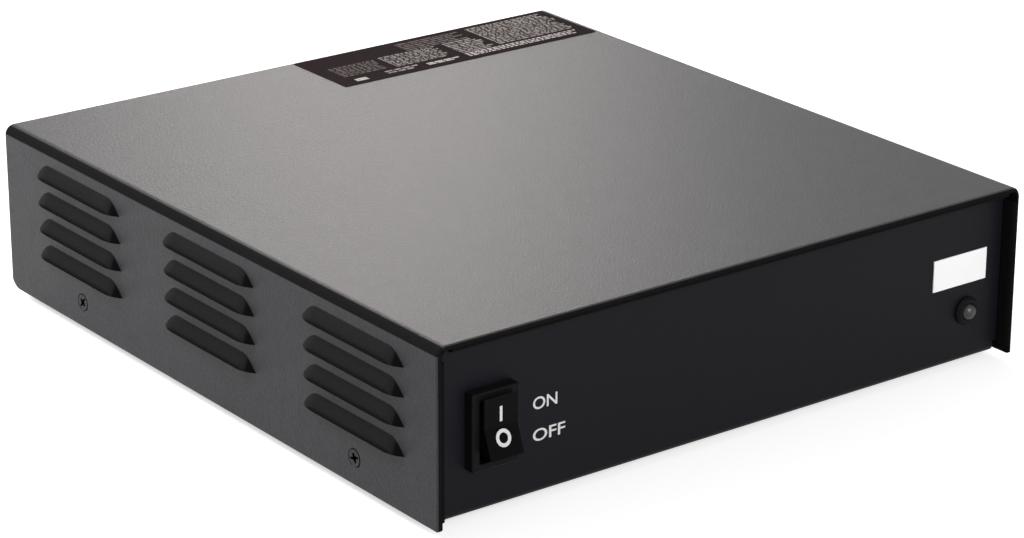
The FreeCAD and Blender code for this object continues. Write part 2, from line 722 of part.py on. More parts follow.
def make_chassis():
    """The folded chassis: floor, front wall, rear wall and side lips."""
    body = new_body("chassis_sheet")
    lip_top = BASE + S.lip_height
    floor_half = WALL - S.lip_notch
    tray = new_sketch(body, "XZ_Plane")
    outline(tray, [
        (-SHELL_HALF, BASE), (-SHELL_HALF, lip_top), (-LIP_FACE, lip_top), (-LIP_FACE, FLOOR),
        (LIP_FACE, FLOOR), (LIP_FACE, lip_top), (SHELL_HALF, lip_top), (SHELL_HALF, BASE)])
    pad(body, tray, 2 * floor_half, symmetric=True)
    fillet(body, S.fold_radius,
           ("y", dict(x=SHELL_HALF, z=BASE)), ("y", dict(x=-SHELL_HALF, z=BASE)))
    fillet(body, S.fold_radius - S.gauge,
           ("y", dict(x=LIP_FACE, z=FLOOR)), ("y", dict(x=-LIP_FACE, z=FLOOR)))
    inner = WALL - S.gauge
    walls = new_sketch(body, "YZ_Plane")
    for side in (-1, 1):
        outline(walls, [
            (floor_half * side, BASE), (WALL * side, BASE), (WALL * side, WALL_TOP),
            (inner * side, WALL_TOP), (inner * side, FLOOR), (floor_half * side, FLOOR)])
    pad(body, walls, 2 * (SHELL_HALF - S.fold_radius), symmetric=True)
    fillet(body, S.fold_radius, ("x", dict(y=WALL, z=BASE)), ("x", dict(y=-WALL, z=BASE)))
    fillet(body, S.fold_radius - S.gauge,
           ("x", dict(y=inner, z=FLOOR)), ("x", dict(y=-inner, z=FLOOR)))
    ears = new_sketch(body, "YZ_Plane")
    for side in (-1, 1):
        outline(ears, [
            (inner * side, FLOOR + S.fold_radius), (WALL * side, FLOOR + S.fold_radius),
            (WALL * side, WALL_TOP), (inner * side, WALL_TOP)])
    pad(body, ears, 2 * SHELL_HALF, symmetric=True)
    fillet(body, S.bend_radius, *[("y", dict(x=SHELL_HALF * i, z=WALL_TOP)) for i in (-1, 1)])
    cut_front_openings(body)
    cut_rear_openings(body)
    lip_holes = new_sketch(body, "YZ_Plane")
    for y in cover_screw_rows():
        circle(lip_holes, y, BASE + S.screw_level, HOLE_RADIUS)
    pocket(body, lip_holes, 2 * HALF_WIDTH, symmetric=True)
    floor_holes = new_sketch(body, "XY_Plane")
    for x, y in standoff_points():
        circle(floor_holes, x, y, HOLE_RADIUS)
    pocket(body, floor_holes, 2 * FLOOR + S.gauge, symmetric=True)
    node(body, "chassis")


def cut_front_openings(body):
    """The front wall's openings for the switch and the lamp holder."""
    front = new_sketch(body, "XZ_Plane", WALL + S.gauge)
    middle_rectangle(front, SWITCH_X, BASE + S.switch_level,
                     S.switch_body_width + S.seat_gap, S.switch_body_height + S.seat_gap)
    circle(front, LAMP_X, BASE + S.lamp_level, S.lamp_barrel_radius + S.fit_gap)
    pocket(body, front, 3 * S.gauge)


def fan_screw_points():
    """Where the four fan screws stand in the rear wall."""
    half = S.fan_hole_pitch / 2
    return [(S.fan_x + half * i, MIDDLE + half * k) for i in (-1, 1) for k in (-1, 1)]


def inlet_screw_points():
    """Where the two inlet screws stand."""
    return [(INLET_X + S.inlet_screw_pitch / 2 * i, MIDDLE) for i in (-1, 1)]


def socket_columns():
    """The negative and the positive output socket."""
    return [SOCKET_X - S.socket_pitch, SOCKET_X]


def cut_rear_openings(body):
    """The rear wall's openings for the inlet, the fan and the output sockets."""
    rear = new_sketch(body, "XZ_Plane", -WALL - S.gauge)
    middle_rectangle(rear, INLET_X, MIDDLE,
                     S.inlet_body_width + S.seat_gap, S.inlet_body_height + S.seat_gap)
    circle(rear, S.fan_x, MIDDLE, S.fan_size / 2 - S.fan_wall)
    for x, z in fan_screw_points() + inlet_screw_points():
        circle(rear, x, z, HOLE_RADIUS)
    for x in socket_columns():
        circle(rear, x, MIDDLE, S.socket_body_radius + S.fit_gap)
    pocket(body, rear, 3 * S.gauge, reverse=True)


def pan_screw(name, length):
    """A pan head screw along Z with the underside of its head at zero."""
    head = S.board_screw_head
    height = S.board_screw_head_height
    return turned_piece(name, [
        (0, height), (head * 0.6, height), (head, height / 2), (head, 0),
        (S.screw_radius, 0), (S.screw_radius, -length), (0, -length)])


def make_cover_fasteners():
    """Countersunk cover screws and the clinch nuts behind the lips."""
    screw = turned_piece("countersunk_screw", [
        (0, 0), (S.screw_head_radius, 0), (S.screw_radius, -S.gauge),
        (S.screw_radius, -S.screw_length), (0, -S.screw_length)])
    node(repeated("screw_group", screw, screw_spots(HALF_WIDTH)), "cover_screws")
    nut = turned_piece("clinch_nut", [
        (HOLE_RADIUS, 0), (S.nut_radius, 0), (S.nut_radius, -S.nut_height),
        (HOLE_RADIUS, -S.nut_height)])
    node(repeated("nut_group", nut, screw_spots(LIP_FACE)), "cover_nuts")


def make_feet():
    """Four stick-on rubber feet."""
    foot = turned_piece("foot", [
        (0, 0), (S.foot_radius * 0.85, 0), (S.foot_radius, S.foot_height), (0, S.foot_height)])
    x = HALF_WIDTH - S.foot_inset
    y = HALF_DEPTH - S.foot_inset
    corners = [(x * i, y * k, 0) for i in (-1, 1) for k in (-1, 1)]
    node(repeated("foot_group", foot, spots(corners)), "rubber_feet")


SWITCH_FRONT = -WALL - S.bezel_proud
HALF_SWING = S.rocker_swing / 2
PIVOT_Y = SWITCH_FRONT + S.rocker_depth * cosine(HALF_SWING) - S.rocker_stand
PIVOT_Z = BASE + S.switch_level
WINDOW_WIDTH = S.rocker_width + 2 * S.rocker_side_gap
WINDOW_HEIGHT = 2 * (S.rocker_reach + S.rocker_end_gap)


def make_switch():
    """The mains switch: housing with its window, rocker and terminal blades."""
    body = new_body("switch_case")
    bezel = new_sketch(body, "XZ_Plane", WALL)
    middle_rectangle(bezel, SWITCH_X, PIVOT_Z, S.bezel_width, S.bezel_height)
    pad(body, bezel, S.bezel_proud)
    x_edges = [SWITCH_X + S.bezel_width / 2 * i for i in (-1, 1)]
    z_edges = [PIVOT_Z + S.bezel_height / 2 * i for i in (-1, 1)]
    fillet(body, S.bezel_round, *[("y", dict(x=x, z=z)) for x in x_edges for z in z_edges])
    fillet(body, S.bezel_round, ("x", dict(y=SWITCH_FRONT, z=z_edges[0])))
    back = new_sketch(body, "XZ_Plane", WALL)
    middle_rectangle(back, SWITCH_X, PIVOT_Z, S.switch_body_width, S.switch_body_height)
    pad(body, back, S.switch_body_depth, reverse=True)
    window = new_sketch(body, "XZ_Plane", -SWITCH_FRONT)
    middle_rectangle(window, SWITCH_X, PIVOT_Z, WINDOW_WIDTH, WINDOW_HEIGHT)
    pocket(body, window, PIVOT_Y + S.rocker_leg + S.rocker_end_gap - SWITCH_FRONT)
    holes = new_sketch(body, "YZ_Plane", SWITCH_X)
    circle(holes, PIVOT_Y, PIVOT_Z, S.pivot_radius + S.fit_gap)
    pocket(body, holes, WINDOW_WIDTH + 2 * S.pivot_length, symmetric=True)
    node(body, "switch_housing")
    make_rocker()
    back_y = -WALL + S.switch_body_depth
    blades = []
    for step in (-1, 1):
        z = PIVOT_Z + S.blade_pitch / 2 * step
        low = (SWITCH_X - S.blade_width / 2, back_y, z - S.blade_thickness / 2)
        high = (SWITCH_X + S.blade_width / 2, back_y + S.blade_length, z + S.blade_thickness / 2)
        blades.append(block("blade", low, high))
    node(repeated("blade_group", compound("blades", blades), [Placement()]), "switch_terminals")


def compound(name, items):
    """Several objects held together as one group of solids."""
    item = DOC.addObject("Part::Compound", name)
    item.Links = items
    return item


def make_rocker():
    """The rocker, drawn level and tilted so that its upper half is pressed."""
    body = new_body("rocker")
    peak = S.rocker_depth + S.rocker_reach * tangent(HALF_SWING)
    sketch = new_sketch(body, "YZ_Plane")
    outline(sketch, [
        (-S.rocker_depth, 0), (-peak, S.rocker_reach), (-S.rocker_shoulder, S.rocker_flank),
        (0, S.rocker_leg), (S.rocker_leg, 0), (0, -S.rocker_leg),
        (-S.rocker_shoulder, -S.rocker_flank), (-peak, -S.rocker_reach)])
    pad(body, sketch, S.rocker_width, symmetric=True)
    pivot = new_sketch(body, "YZ_Plane")
    circle(pivot, 0, 0, S.pivot_radius)
    pad(body, pivot, WINDOW_WIDTH + 2 * (S.pivot_length - S.fit_gap), symmetric=True)
    body.Placement = Placement(Vector(), Rotation(Vector(1, 0, 0), -float(HALF_SWING)))
    place(body, SWITCH_X, PIVOT_Y, PIVOT_Z)
    bind(body, "Placement.Rotation.Angle", HALF_SWING)
    body.Placement.Rotation.Axis = Vector(-1, 0, 0)
    node(body, "switch_rocker")


def make_lamp():
    """The indicator: a lamp in a snap-in holder."""
    axis = AXIS_TURNS["-Y"]
    bore = S.lamp_radius + S.fit_gap
    holder = turned_piece("holder", [
        (bore, 0), (bore, S.lamp_holder_proud), (S.lamp_holder_radius * 0.85, S.lamp_holder_proud),
        (S.lamp_holder_radius, S.lamp_holder_proud / 2), (S.lamp_holder_radius, 0),
        (S.lamp_barrel_radius, 0), (S.lamp_barrel_radius, -S.lamp_barrel_length),
        (bore, -S.lamp_barrel_length)])
    spot = spots([(LAMP_X, -WALL, BASE + S.lamp_level)], axis)
    node(repeated("holder_group", holder, spot), "lamp_holder")
    body = new_body("lamp")
    rear = S.lamp_proud - S.lamp_length
    sketch = new_sketch(body, "XY_Plane", rear)
    circle(sketch, 0, 0, S.lamp_radius)
    pad(body, sketch, S.lamp_length)
    DOC.recompute()
    dome = body.newObject("PartDesign::Fillet", "lamp_dome")
    rims = [n for n, e in enumerate(body.Group[-2].Shape.Edges, 1)
            if abs(e.CenterOfMass.z - float(S.lamp_proud)) < TOLERANCE]
    dome.Base = (body.Group[-2], ["Edge%d" % number for number in rims])
    bind(dome, "Radius", S.lamp_radius * 0.96)
    body.Tip = dome
    node(repeated("lamp_group", body, spot), "indicator_lamp")


def make_labels():
    """The badge on the front wall and the label on the cover."""
    x = BADGE_X - S.badge_width / 2
    z = BASE + S.badge_level - S.badge_height / 2
    node(block("badge", (x, -WALL - S.badge_thickness, z),
               (x + S.badge_width, -WALL, z + S.badge_height)), "front_badge")
    right = HALF_WIDTH - S.label_side_inset
    rear = HALF_DEPTH - S.label_rear_inset
    node(block("label", (right - S.label_width, rear - S.label_depth, TOP),
               (right, rear, TOP + S.label_thickness)), "rating_label")


def make_board():
    """The main board with its standoffs, screws and insulating sheet."""
    body = new_body("board")
    sketch = new_sketch(body, "XY_Plane", BOARD_TOP - S.board_thickness)
    rectangle(sketch, -BOARD_HALF, BOARD_FRONT, BOARD_HALF, BOARD_REAR)
    for x, y in standoff_points():
        circle(sketch, x, y, HOLE_RADIUS)
    pad(body, sketch, S.board_thickness)
    node(body, "main_board")
    standoff = turned_piece("standoff", [
        (HOLE_RADIUS, 0), (S.standoff_radius, 0), (S.standoff_radius, S.standoff_height),
        (HOLE_RADIUS, S.standoff_height)])
    points = standoff_points()
    node(repeated("standoff_group", standoff, spots([(x, y, FLOOR) for x, y in points])),
         "board_standoffs")
    screw = pan_screw("board_screw", S.board_screw_length)
    node(repeated("board_screw_group", screw, spots([(x, y, BOARD_TOP) for x, y in points])),
         "board_screws")
    sheet = block("sheet", (-BOARD_HALF + S.sheet_margin, BOARD_FRONT + S.sheet_margin, FLOOR),
                  (BOARD_HALF - S.sheet_margin, BOARD_REAR - S.sheet_margin,
                   FLOOR + S.sheet_thickness))
    node(sheet, "insulating_sheet")


def sink_profile():
    """Comb section of a heat sink whose web faces +X and whose fins point to -X."""
    step = (S.sink_height - S.sink_fin_thickness) / (S.sink_fins - 1)
    web = -S.sink_web
    tip = S.core_width / 2 + S.sink_core_gap - SINK_X
    points = [(0, S.sink_height), (0, 0)]
    for fin in range(int(float(S.sink_fins))):
        low = step * fin
        high = low + S.sink_fin_thickness
        if fin:
            points.append((web, low))
        points += [(tip, low), (tip, high)]
        if fin < int(float(S.sink_fins)) - 1:
            points.append((web, high))
    return points


def make_heat_sinks():
    """Two finned heat sinks, the power transistors, the diodes and the bridge rectifier."""
    for side, name in ((-1, "input_heat_sink"), (1, "output_heat_sink")):
        body = new_body("%s_body" % name)
        sketch = new_sketch(body, "XZ_Plane")
        outline(sketch, [(x * side, z) for x, z in sink_profile()])
        pad(body, sketch, S.sink_length, symmetric=True)
        place(body, SINK_X * side, board_row(S.sink_row), BOARD_TOP)
        node(body, name)
    package = fused("package", [
        block("package_body", (0, -S.package_width / 2, S.package_lift),
              (S.package_thickness, S.package_width / 2, S.package_lift + S.package_height)),
        *[block("package_lead", (S.package_thickness / 2, step * 5 - S.lead_section / 2, 0),
                (S.package_thickness / 2 + S.lead_section, step * 5 + S.lead_section / 2,
                 S.package_lift)) for step in (-1, 0, 1)]])
    y = board_row(S.sink_row)
    half_turn = Rotation(Vector(0, 0, 1), 180)
    node(repeated("transistor_group", package, spots(
        [(-SINK_X, y + S.package_pitch * (step - 1.5), BOARD_TOP) for step in (0, 1, 2)],
        half_turn)), "power_transistors")
    node(repeated("diode_group", package, spots(
        [(SINK_X, y + S.package_pitch * (step - 1.5), BOARD_TOP) for step in (1, 2)])),
        "output_diodes")
    half = S.bridge_width / 2
    bridge_y = board_row(S.bridge_row)
    bridge = [block("bridge_body", (-SINK_X - S.package_thickness, bridge_y - half,
                                    BOARD_TOP + S.package_lift),
                    (-SINK_X, bridge_y + half, BOARD_TOP + S.package_lift + S.package_height))]
    for step in (-1.5, -0.5, 0.5, 1.5):
        middle = bridge_y + S.bridge_width / 4 * step
        x = -SINK_X - S.package_thickness / 2
        bridge.append(block("bridge_lead", (x, middle - S.lead_section / 2, BOARD_TOP),
                            (x + S.lead_section, middle + S.lead_section / 2,
                             BOARD_TOP + S.package_lift)))
    node(fused("bridge", bridge), "bridge_rectifier")


def make_transformers():
    """The main transformer's core and coil, and the small standby transformer."""
    half = S.core_width / 2
    centre = S.core_centre_leg / 2
    low = BOARD_TOP + S.core_leg
    high = BOARD_TOP + S.core_height - S.core_leg
    core_y = board_row(S.core_row)
    front = core_y - S.core_depth / 2
    rear = core_y + S.core_depth / 2
    block_core = block("core_block", (S.core_x - half, front, BOARD_TOP),
                       (S.core_x + half, rear, BOARD_TOP + S.core_height))
    windows = compound("core_windows", [
        block("core_window", (S.core_x + near, front, low), (S.core_x + far, rear, high))
        for near, far in ((centre, half - S.core_leg), (S.core_leg - half, -centre))])
    node(cut("core", block_core, windows), "transformer_core")
    body = new_body("coil")
    sketch = new_sketch(body, "XY_Plane", low + S.coil_gap)
    coil_half = half - S.core_leg - S.coil_gap
    middle_rectangle(sketch, S.core_x, core_y, 2 * coil_half, S.coil_depth)
    pad(body, sketch, high - low - 2 * S.coil_gap)
    fillet(body, S.coil_round, *[("z", dict(x=S.core_x + coil_half * i,
                                            y=core_y + S.coil_depth / 2 * k))
                                 for i in (-1, 1) for k in (-1, 1)])
    hole = new_sketch(body, "XY_Plane", low)
    middle_rectangle(hole, S.core_x, core_y, S.core_centre_leg + S.seat_gap,
                     S.core_depth + S.seat_gap)
    pocket(body, hole, high - low, reverse=True)
    node(body, "transformer_coil")
    x = S.standby_width / 2
    y = S.standby_depth / 2
    standby_y = board_row(S.standby_row)
    base = [block("standby_core", (-x, standby_y - y, BOARD_TOP),
                  (x, standby_y + y, BOARD_TOP + S.standby_height * 0.8)),
            block("standby_coil", (-x * 0.6, standby_y - y * 1.2, BOARD_TOP + 1),
                  (x * 0.6, standby_y + y * 1.2, BOARD_TOP + S.standby_height))]
    node(fused("standby", base), "standby_transformer")


def can_profile(radius, height):
    """Half section of a capacitor can with its rolled groove."""
    groove = radius * 0.08
    return [(0, 0), (radius - groove, 0), (radius, groove), (radius, height * 0.1),
            (radius - groove, height * 0.13), (radius, height * 0.16),
            (radius, height - groove), (radius - groove, height), (0, height)]


def make_capacitors():
    """Mains capacitors, output capacitors and film capacitors."""
    bulk = turned_piece("bulk_can", can_profile(S.bulk_radius, S.bulk_height))
    bulk_x = board_column(-1, S.left_column_share)
    node(repeated("bulk_group", bulk, spots(
        [(bulk_x, board_row(S.bulk_row) - S.bulk_pitch * step, BOARD_TOP) for step in (0, 1)])),
        "mains_capacitors")
    storage = turned_piece("storage_can", can_profile(S.storage_radius, S.storage_height))
    node(repeated("storage_group", storage, spots(
        [(board_column(1, S.storage_share) + S.storage_pitch * i,
          board_row(S.storage_row) - S.storage_pitch * k, BOARD_TOP)
         for i in (0, 1) for k in (0, 1)])), "output_capacitors")
    film = block("film", (-S.film_width / 2, -S.film_length / 2, 0),
                 (S.film_width / 2, S.film_length / 2, S.film_height))
    node(repeated("film_group", film, spots(
        [(board_column(-1, S.edge_column_share), board_row(row), BOARD_TOP)
         for row in (S.film_row, S.film_front_row)])), "film_capacitors")


def make_ring_choke(name, x, y, ring_radius, winding_radius):
    """A wound ring choke lying on its mount."""
    level = BOARD_TOP + S.ring_base + winding_radius
    mount = rod("%s_mount" % name, (x, y, BOARD_TOP), ring_radius + winding_radius * 0.6,
                S.ring_base + winding_radius * 0.4)
    node(fused("%s_wound" % name, [ring("%s_ring" % name, (x, y, level), ring_radius,
                                        winding_radius), mount]), name)


def make_chokes():
    """The line filter, power factor and output chokes."""
    left = board_column(-1, S.left_column_share)
    make_ring_choke("line_choke", left, board_row(S.line_row), S.line_ring, S.line_round)
    make_ring_choke("boost_choke", left, board_row(S.boost_row), S.boost_ring, S.boost_round)
    make_ring_choke("output_choke", board_column(1, S.output_share), board_row(S.output_row),
                    S.output_ring, S.output_round)


def make_fuse():
    """A glass fuse in two clips."""
    x = board_column(-1, S.edge_column_share)
    z = BOARD_TOP + S.fuse_lift
    start = board_row(S.fuse_row) - S.fuse_length / 2
    glass = rod("fuse_glass", (x, start, z), S.fuse_radius, S.fuse_length, "Y")
    caps = [rod("fuse_cap", (x, y, z), S.fuse_radius + S.fit_gap * 2, S.fuse_cap, "Y")
            for y in (start, start + S.fuse_length - S.fuse_cap)]
    node(fused("fuse_tube", [glass] + caps), "fuse")
    grip = S.fuse_radius + S.fit_gap * 3
    outer = grip + S.clip_thickness
    body = new_body("clip")
    sketch = new_sketch(body, "XZ_Plane")
    outline(sketch, [
        (-outer, -S.fuse_lift), (outer, -S.fuse_lift), (outer, grip), (grip, grip),
        (grip, S.clip_thickness - S.fuse_lift), (-grip, S.clip_thickness - S.fuse_lift),
        (-grip, grip), (-outer, grip)])
    pad(body, sketch, S.fuse_cap * 0.8, symmetric=True)
    middles = [start + S.fuse_cap / 2, start + S.fuse_length - S.fuse_cap / 2]
    node(repeated("clip_group", body, spots([(x, y, z) for y in middles])), "fuse_clips")


def make_control_board():
    """The upright control board with its chip and its row of pins."""
    half = S.control_length / 2
    front = board_row(S.control_row)
    rear = front + S.board_thickness
    node(block("control", (-half, front, BOARD_TOP),
               (half, rear, BOARD_TOP + S.control_height)), "control_board")
    middle = BOARD_TOP + S.control_height / 2
    chips = [block("chip", (x - S.chip_length / 2, front - S.chip_thickness,
                            middle - S.chip_height / 2),
                   (x + S.chip_length / 2, front, middle + S.chip_height / 2))
             for x in (-half / 2, half / 2)]
    node(repeated("chip_group", compound("chips", chips), [Placement()]), "control_chips")


FAN_FRONT = WALL - S.gauge - S.fan_depth
FAN_BORE = S.fan_size / 2 - S.fan_wall
HUB_FRONT = FAN_FRONT + 1


def make_fan():
    """The fan: frame with motor plate, rotor and finger guard with its screws."""
    body = new_body("frame")
    barrel = new_sketch(body, "XZ_Plane", -FAN_FRONT)
    circle(barrel, S.fan_x, MIDDLE, S.fan_size / 2)
    circle(barrel, S.fan_x, MIDDLE, FAN_BORE)
    pad(body, barrel, S.fan_depth, reverse=True)
    for start in (FAN_FRONT, FAN_FRONT + S.fan_depth - S.fan_flange):
        flange = new_sketch(body, "XZ_Plane", -start)
        middle_rectangle(flange, S.fan_x, MIDDLE, S.fan_size, S.fan_size)
        circle(flange, S.fan_x, MIDDLE, FAN_BORE)
        for x, z in fan_screw_points():
            circle(flange, x, z, HOLE_RADIUS)
        pad(body, flange, S.fan_flange, reverse=True)
    plate_front = FAN_FRONT + S.fan_depth - S.motor_plate
    plate = new_sketch(body, "XZ_Plane", -plate_front)
    circle(plate, S.fan_x, MIDDLE, S.hub_radius)
    circle(plate, S.fan_x, MIDDLE, S.shaft_radius + S.fit_gap)
    pad(body, plate, S.motor_plate, reverse=True)
    struts = new_sketch(body, "XZ_Plane", -plate_front)
    reach = (S.hub_radius * 0.8, FAN_BORE + S.fan_wall / 2)
    half = S.strut_width / 2
    for side in (-1, 1):
        near = S.fan_x + reach[0] * side
        far = S.fan_x + reach[1] * side
        outline(struts, [(near, MIDDLE - half), (far, MIDDLE - half),
                         (far, MIDDLE + half), (near, MIDDLE + half)])
        outline(struts, [(S.fan_x - half, MIDDLE + reach[0] * side),
                         (S.fan_x - half, MIDDLE + reach[1] * side),
                         (S.fan_x + half, MIDDLE + reach[1] * side),
                         (S.fan_x + half, MIDDLE + reach[0] * side)])
    pad(body, struts, S.motor_plate, reverse=True)
    node(body, "fan_frame")
    make_fan_rotor()
    make_fan_guard()


def make_fan_rotor():
    """The rotor: hub, shaft and twisted blades, drawn round Z and laid along Y."""
    body = new_body("rotor")
    hub = new_sketch(body, "XY_Plane")
    circle(hub, 0, 0, S.hub_radius)
    pad(body, hub, S.hub_length)
    shaft = new_sketch(body, "XY_Plane")
    circle(shaft, 0, 0, S.shaft_radius)
    pad(body, shaft, FAN_FRONT + S.fan_depth - HUB_FRONT)
    tip = FAN_BORE - S.blade_tip_gap - S.blade_tip_gap
    sections = []
    for reach, angle in ((S.hub_radius * 0.9, S.blade_root_pitch), (tip, S.blade_tip_pitch)):
        sketch = new_sketch(body, "YZ_Plane", reach)
        across = (cosine(angle) * S.blade_chord / 2, sine(angle) * S.blade_chord / 2)
        through = (sine(angle) * S.blade_gauge / -2, cosine(angle) * S.blade_gauge / 2)
        middle = S.hub_length / 2
        outline(sketch, [(across[0] * i + through[0] * k, middle + across[1] * i + through[1] * k)
                         for i, k in ((-1, -1), (1, -1), (1, 1), (-1, 1))])
        sections.append(sketch)
    blade = body.newObject("PartDesign::AdditiveLoft", "fan_blade")
    blade.Profile = sections[0]
    blade.Sections = [sections[1]]
    DOC.recompute()
    pattern = body.newObject("PartDesign::PolarPattern", "fan_blades")
    pattern.Originals = [blade]
    pattern.Axis = (next(o for o in body.Origin.OriginFeatures if o.Role == "Z_Axis"), [""])
    pattern.Angle = 360
    bind(pattern, "Occurrences", S.blade_count)
    body.Tip = pattern
    body.Placement = Placement(Vector(), AXIS_TURNS["Y"])
    place(body, S.fan_x, HUB_FRONT, MIDDLE)
    node(body, "fan_rotor")


def make_fan_guard():
    """The wire finger guard outside the rear wall and the screws that hold it and the fan."""
    wire = S.guard_wire
    near = WALL + wire
    far = near + 2 * wire
    pieces = [ring("guard_ring", (S.fan_x, far - wire * 0.3, MIDDLE),
                   S.guard_ring - S.guard_pitch * step, wire, "Y")
              for step in range(int(float(S.guard_rings)))]
    reach = S.fan_hole_pitch * math.sqrt(2) / 2 - S.guard_eye
    for slope in (45, -45):
        arm = DOC.addObject("Part::Cylinder", "guard_arm")
        arm.Placement = Placement(Vector(), Rotation(Vector(0, 1, 0), slope))
        bind(arm, "Radius", wire)
        bind(arm, "Height", 2 * reach)
        offset = reach * math.sqrt(0.5)
        place(arm, S.fan_x - offset * (1 if slope > 0 else -1), near, MIDDLE - offset)
        pieces.append(arm)
    pieces += [ring("guard_eye", (x, near, z), S.guard_eye, wire, "Y")
               for x, z in fan_screw_points()]
    node(fused("guard", pieces), "fan_guard")
    screw = pan_screw("fan_screw", S.fan_screw_length)
    node(repeated("fan_screw_group", screw, spots(
        [(x, near + wire, z) for x, z in fan_screw_points()], AXIS_TURNS["Y"])), "fan_screws")


INLET_MOUTH = WALL + S.inlet_flange_depth
PIN_TAIL = WALL - S.inlet_body_depth - S.pin_tail


def pin_points():
    """The two live pins and, between and over them, the earth pin."""
    return [(INLET_X + S.pin_pitch * step, MIDDLE + S.pin_rise * rise)
            for step, rise in ((-1, -1), (1, -1), (0, 1))]


def make_inlet():
    """The mains inlet: moulded socket, three pins and two screws."""
    body = new_body("inlet")
    flange = new_sketch(body, "XZ_Plane", -WALL)
    middle_rectangle(flange, INLET_X, MIDDLE, S.inlet_flange_width, S.inlet_flange_height)
    for x, z in inlet_screw_points():
        circle(flange, x, z, HOLE_RADIUS)
    pad(body, flange, S.inlet_flange_depth, reverse=True)
    fillet(body, S.inlet_round, *[("y", dict(x=INLET_X + S.inlet_flange_width / 2 * i,
                                             z=MIDDLE + S.inlet_flange_height / 2 * k))
                                  for i in (-1, 1) for k in (-1, 1)])
    back = new_sketch(body, "XZ_Plane", -WALL)
    middle_rectangle(back, INLET_X, MIDDLE, S.inlet_body_width, S.inlet_body_height)
    pad(body, back, S.inlet_body_depth)
    mouth = new_sketch(body, "XZ_Plane", -INLET_MOUTH)
    half = S.inlet_mouth_width / 2
    low = MIDDLE - S.inlet_mouth_height / 2
    high = MIDDLE + S.inlet_mouth_height / 2
    cut_corner = S.inlet_mouth_cut
    outline(mouth, [
        (INLET_X - half, low), (INLET_X + half, low), (INLET_X + half, high - cut_corner),
        (INLET_X + half - cut_corner, high), (INLET_X - half + cut_corner, high),
        (INLET_X - half, high - cut_corner)])
    pocket(body, mouth, S.inlet_mouth_depth, reverse=True)
    slots = new_sketch(body, "XZ_Plane", -INLET_MOUTH)
    for x, z in pin_points():
        middle_rectangle(slots, x, z, S.pin_width, S.pin_height)
    pocket(body, slots, S.inlet_flange_depth + S.inlet_body_depth, reverse=True)
    node(body, "power_inlet")
    rear = INLET_MOUTH - S.pin_inset
    pins = [block("pin", (x - S.pin_width / 2, PIN_TAIL, z - S.pin_height / 2),
                  (x + S.pin_width / 2, rear, z + S.pin_height / 2)) for x, z in pin_points()]
    node(repeated("pin_group", compound("pins", pins), [Placement()]), "inlet_pins")
    screw = pan_screw("inlet_screw", S.inlet_screw_length)
    node(repeated("inlet_screw_group", screw, spots(
        [(x, INLET_MOUTH, z) for x, z in inlet_screw_points()], AXIS_TURNS["Y"])), "inlet_screws")


def make_sockets():
    """Two insulated 4 mm output sockets with sleeves and nuts."""
    inside = S.gauge + S.socket_body_length
    insulator = [
        (S.sleeve_radius, S.socket_flange_depth), (S.socket_flange_radius * 0.9, S.socket_flange_depth),
        (S.socket_flange_radius, S.socket_flange_depth * 0.75), (S.socket_flange_radius, 0),
        (S.socket_body_radius, 0), (S.socket_body_radius, -inside), (S.sleeve_radius, -inside)]
    turn = AXIS_TURNS["Y"]
    names = ("negative_socket", "positive_socket")
    for name, x in zip(names, socket_columns()):
        piece = turned_piece("%s_body" % name, insulator)
        node(repeated("%s_group" % name, piece, spots([(x, WALL, MIDDLE)], turn)), name)
    mouth = S.socket_flange_depth
    end = -inside - S.stud_radius
    sleeve = turned_piece("sleeve", [
        (S.socket_bore, mouth), (S.sleeve_radius, mouth), (S.sleeve_radius, end),
        (S.stud_radius, end), (S.stud_radius, end - S.stud_length), (0, end - S.stud_length),
        (0, mouth - S.socket_bore_length), (S.socket_bore, mouth - S.socket_bore_length)])
    both = spots([(x, WALL, MIDDLE) for x in socket_columns()], turn)
    node(repeated("sleeve_group", sleeve, both), "socket_sleeves")
    nut = turned_piece("socket_nut", [
        (S.socket_body_radius, -S.gauge), (S.socket_nut_radius, -S.gauge),
        (S.socket_nut_radius, -S.gauge - S.socket_nut_height),
        (S.socket_body_radius, -S.gauge - S.socket_nut_height)])
    node(repeated("socket_nut_group", nut, both), "socket_nuts")


def make_posts():
    """Two posts on the board that carry the output leads."""
    post = block("post", (-S.post_size / 2, -S.post_size / 2, 0),
                 (S.post_size / 2, S.post_size / 2, S.post_height))
    node(repeated("post_group", post, spots(
        [(x, board_row(S.post_row), BOARD_TOP) for x in socket_columns()])), "output_posts")


def lead_shape(name, radius, points):
    """A round lead along straight runs with rounded turns."""
    corners = [Vector(*[float(size) for size in point]) for point in points]
    edges = []
    start = corners[0]
    for before, corner, after in zip(corners, corners[1:], corners[2:]):
        trim = LEAD_TURN * min((corner - before).Length, (after - corner).Length)
        toward = (before - corner).normalize()
        away = (after - corner).normalize()
        half_turn = toward.getAngle(away) / 2
        bend = trim * math.tan(half_turn)
        centre = corner + (toward + away).normalize() * (bend / math.sin(half_turn))
        middle = centre + (corner - centre).normalize() * bend
        enter = corner + toward * trim
        leave = corner + away * trim
        edges += [Part.makeLine(start, enter), Part.Arc(enter, middle, leave).toShape()]
        start = leave
        print("%s turns with a radius of %.1f mm" % (name, bend))
    edges.append(Part.makeLine(start, corners[-1]))
    path = Part.Wire(edges)
    ring_wire = Part.Wire(Part.makeCircle(float(radius), corners[0], corners[1] - corners[0]))
    shape = path.makePipeShell([ring_wire], True, False)
    expected = math.pi * float(radius) ** 2 * path.Length
    if abs(shape.Volume / expected - 1) > TOLERANCE:
        raise RuntimeError("%s has a wrong volume" % name)
    return shape


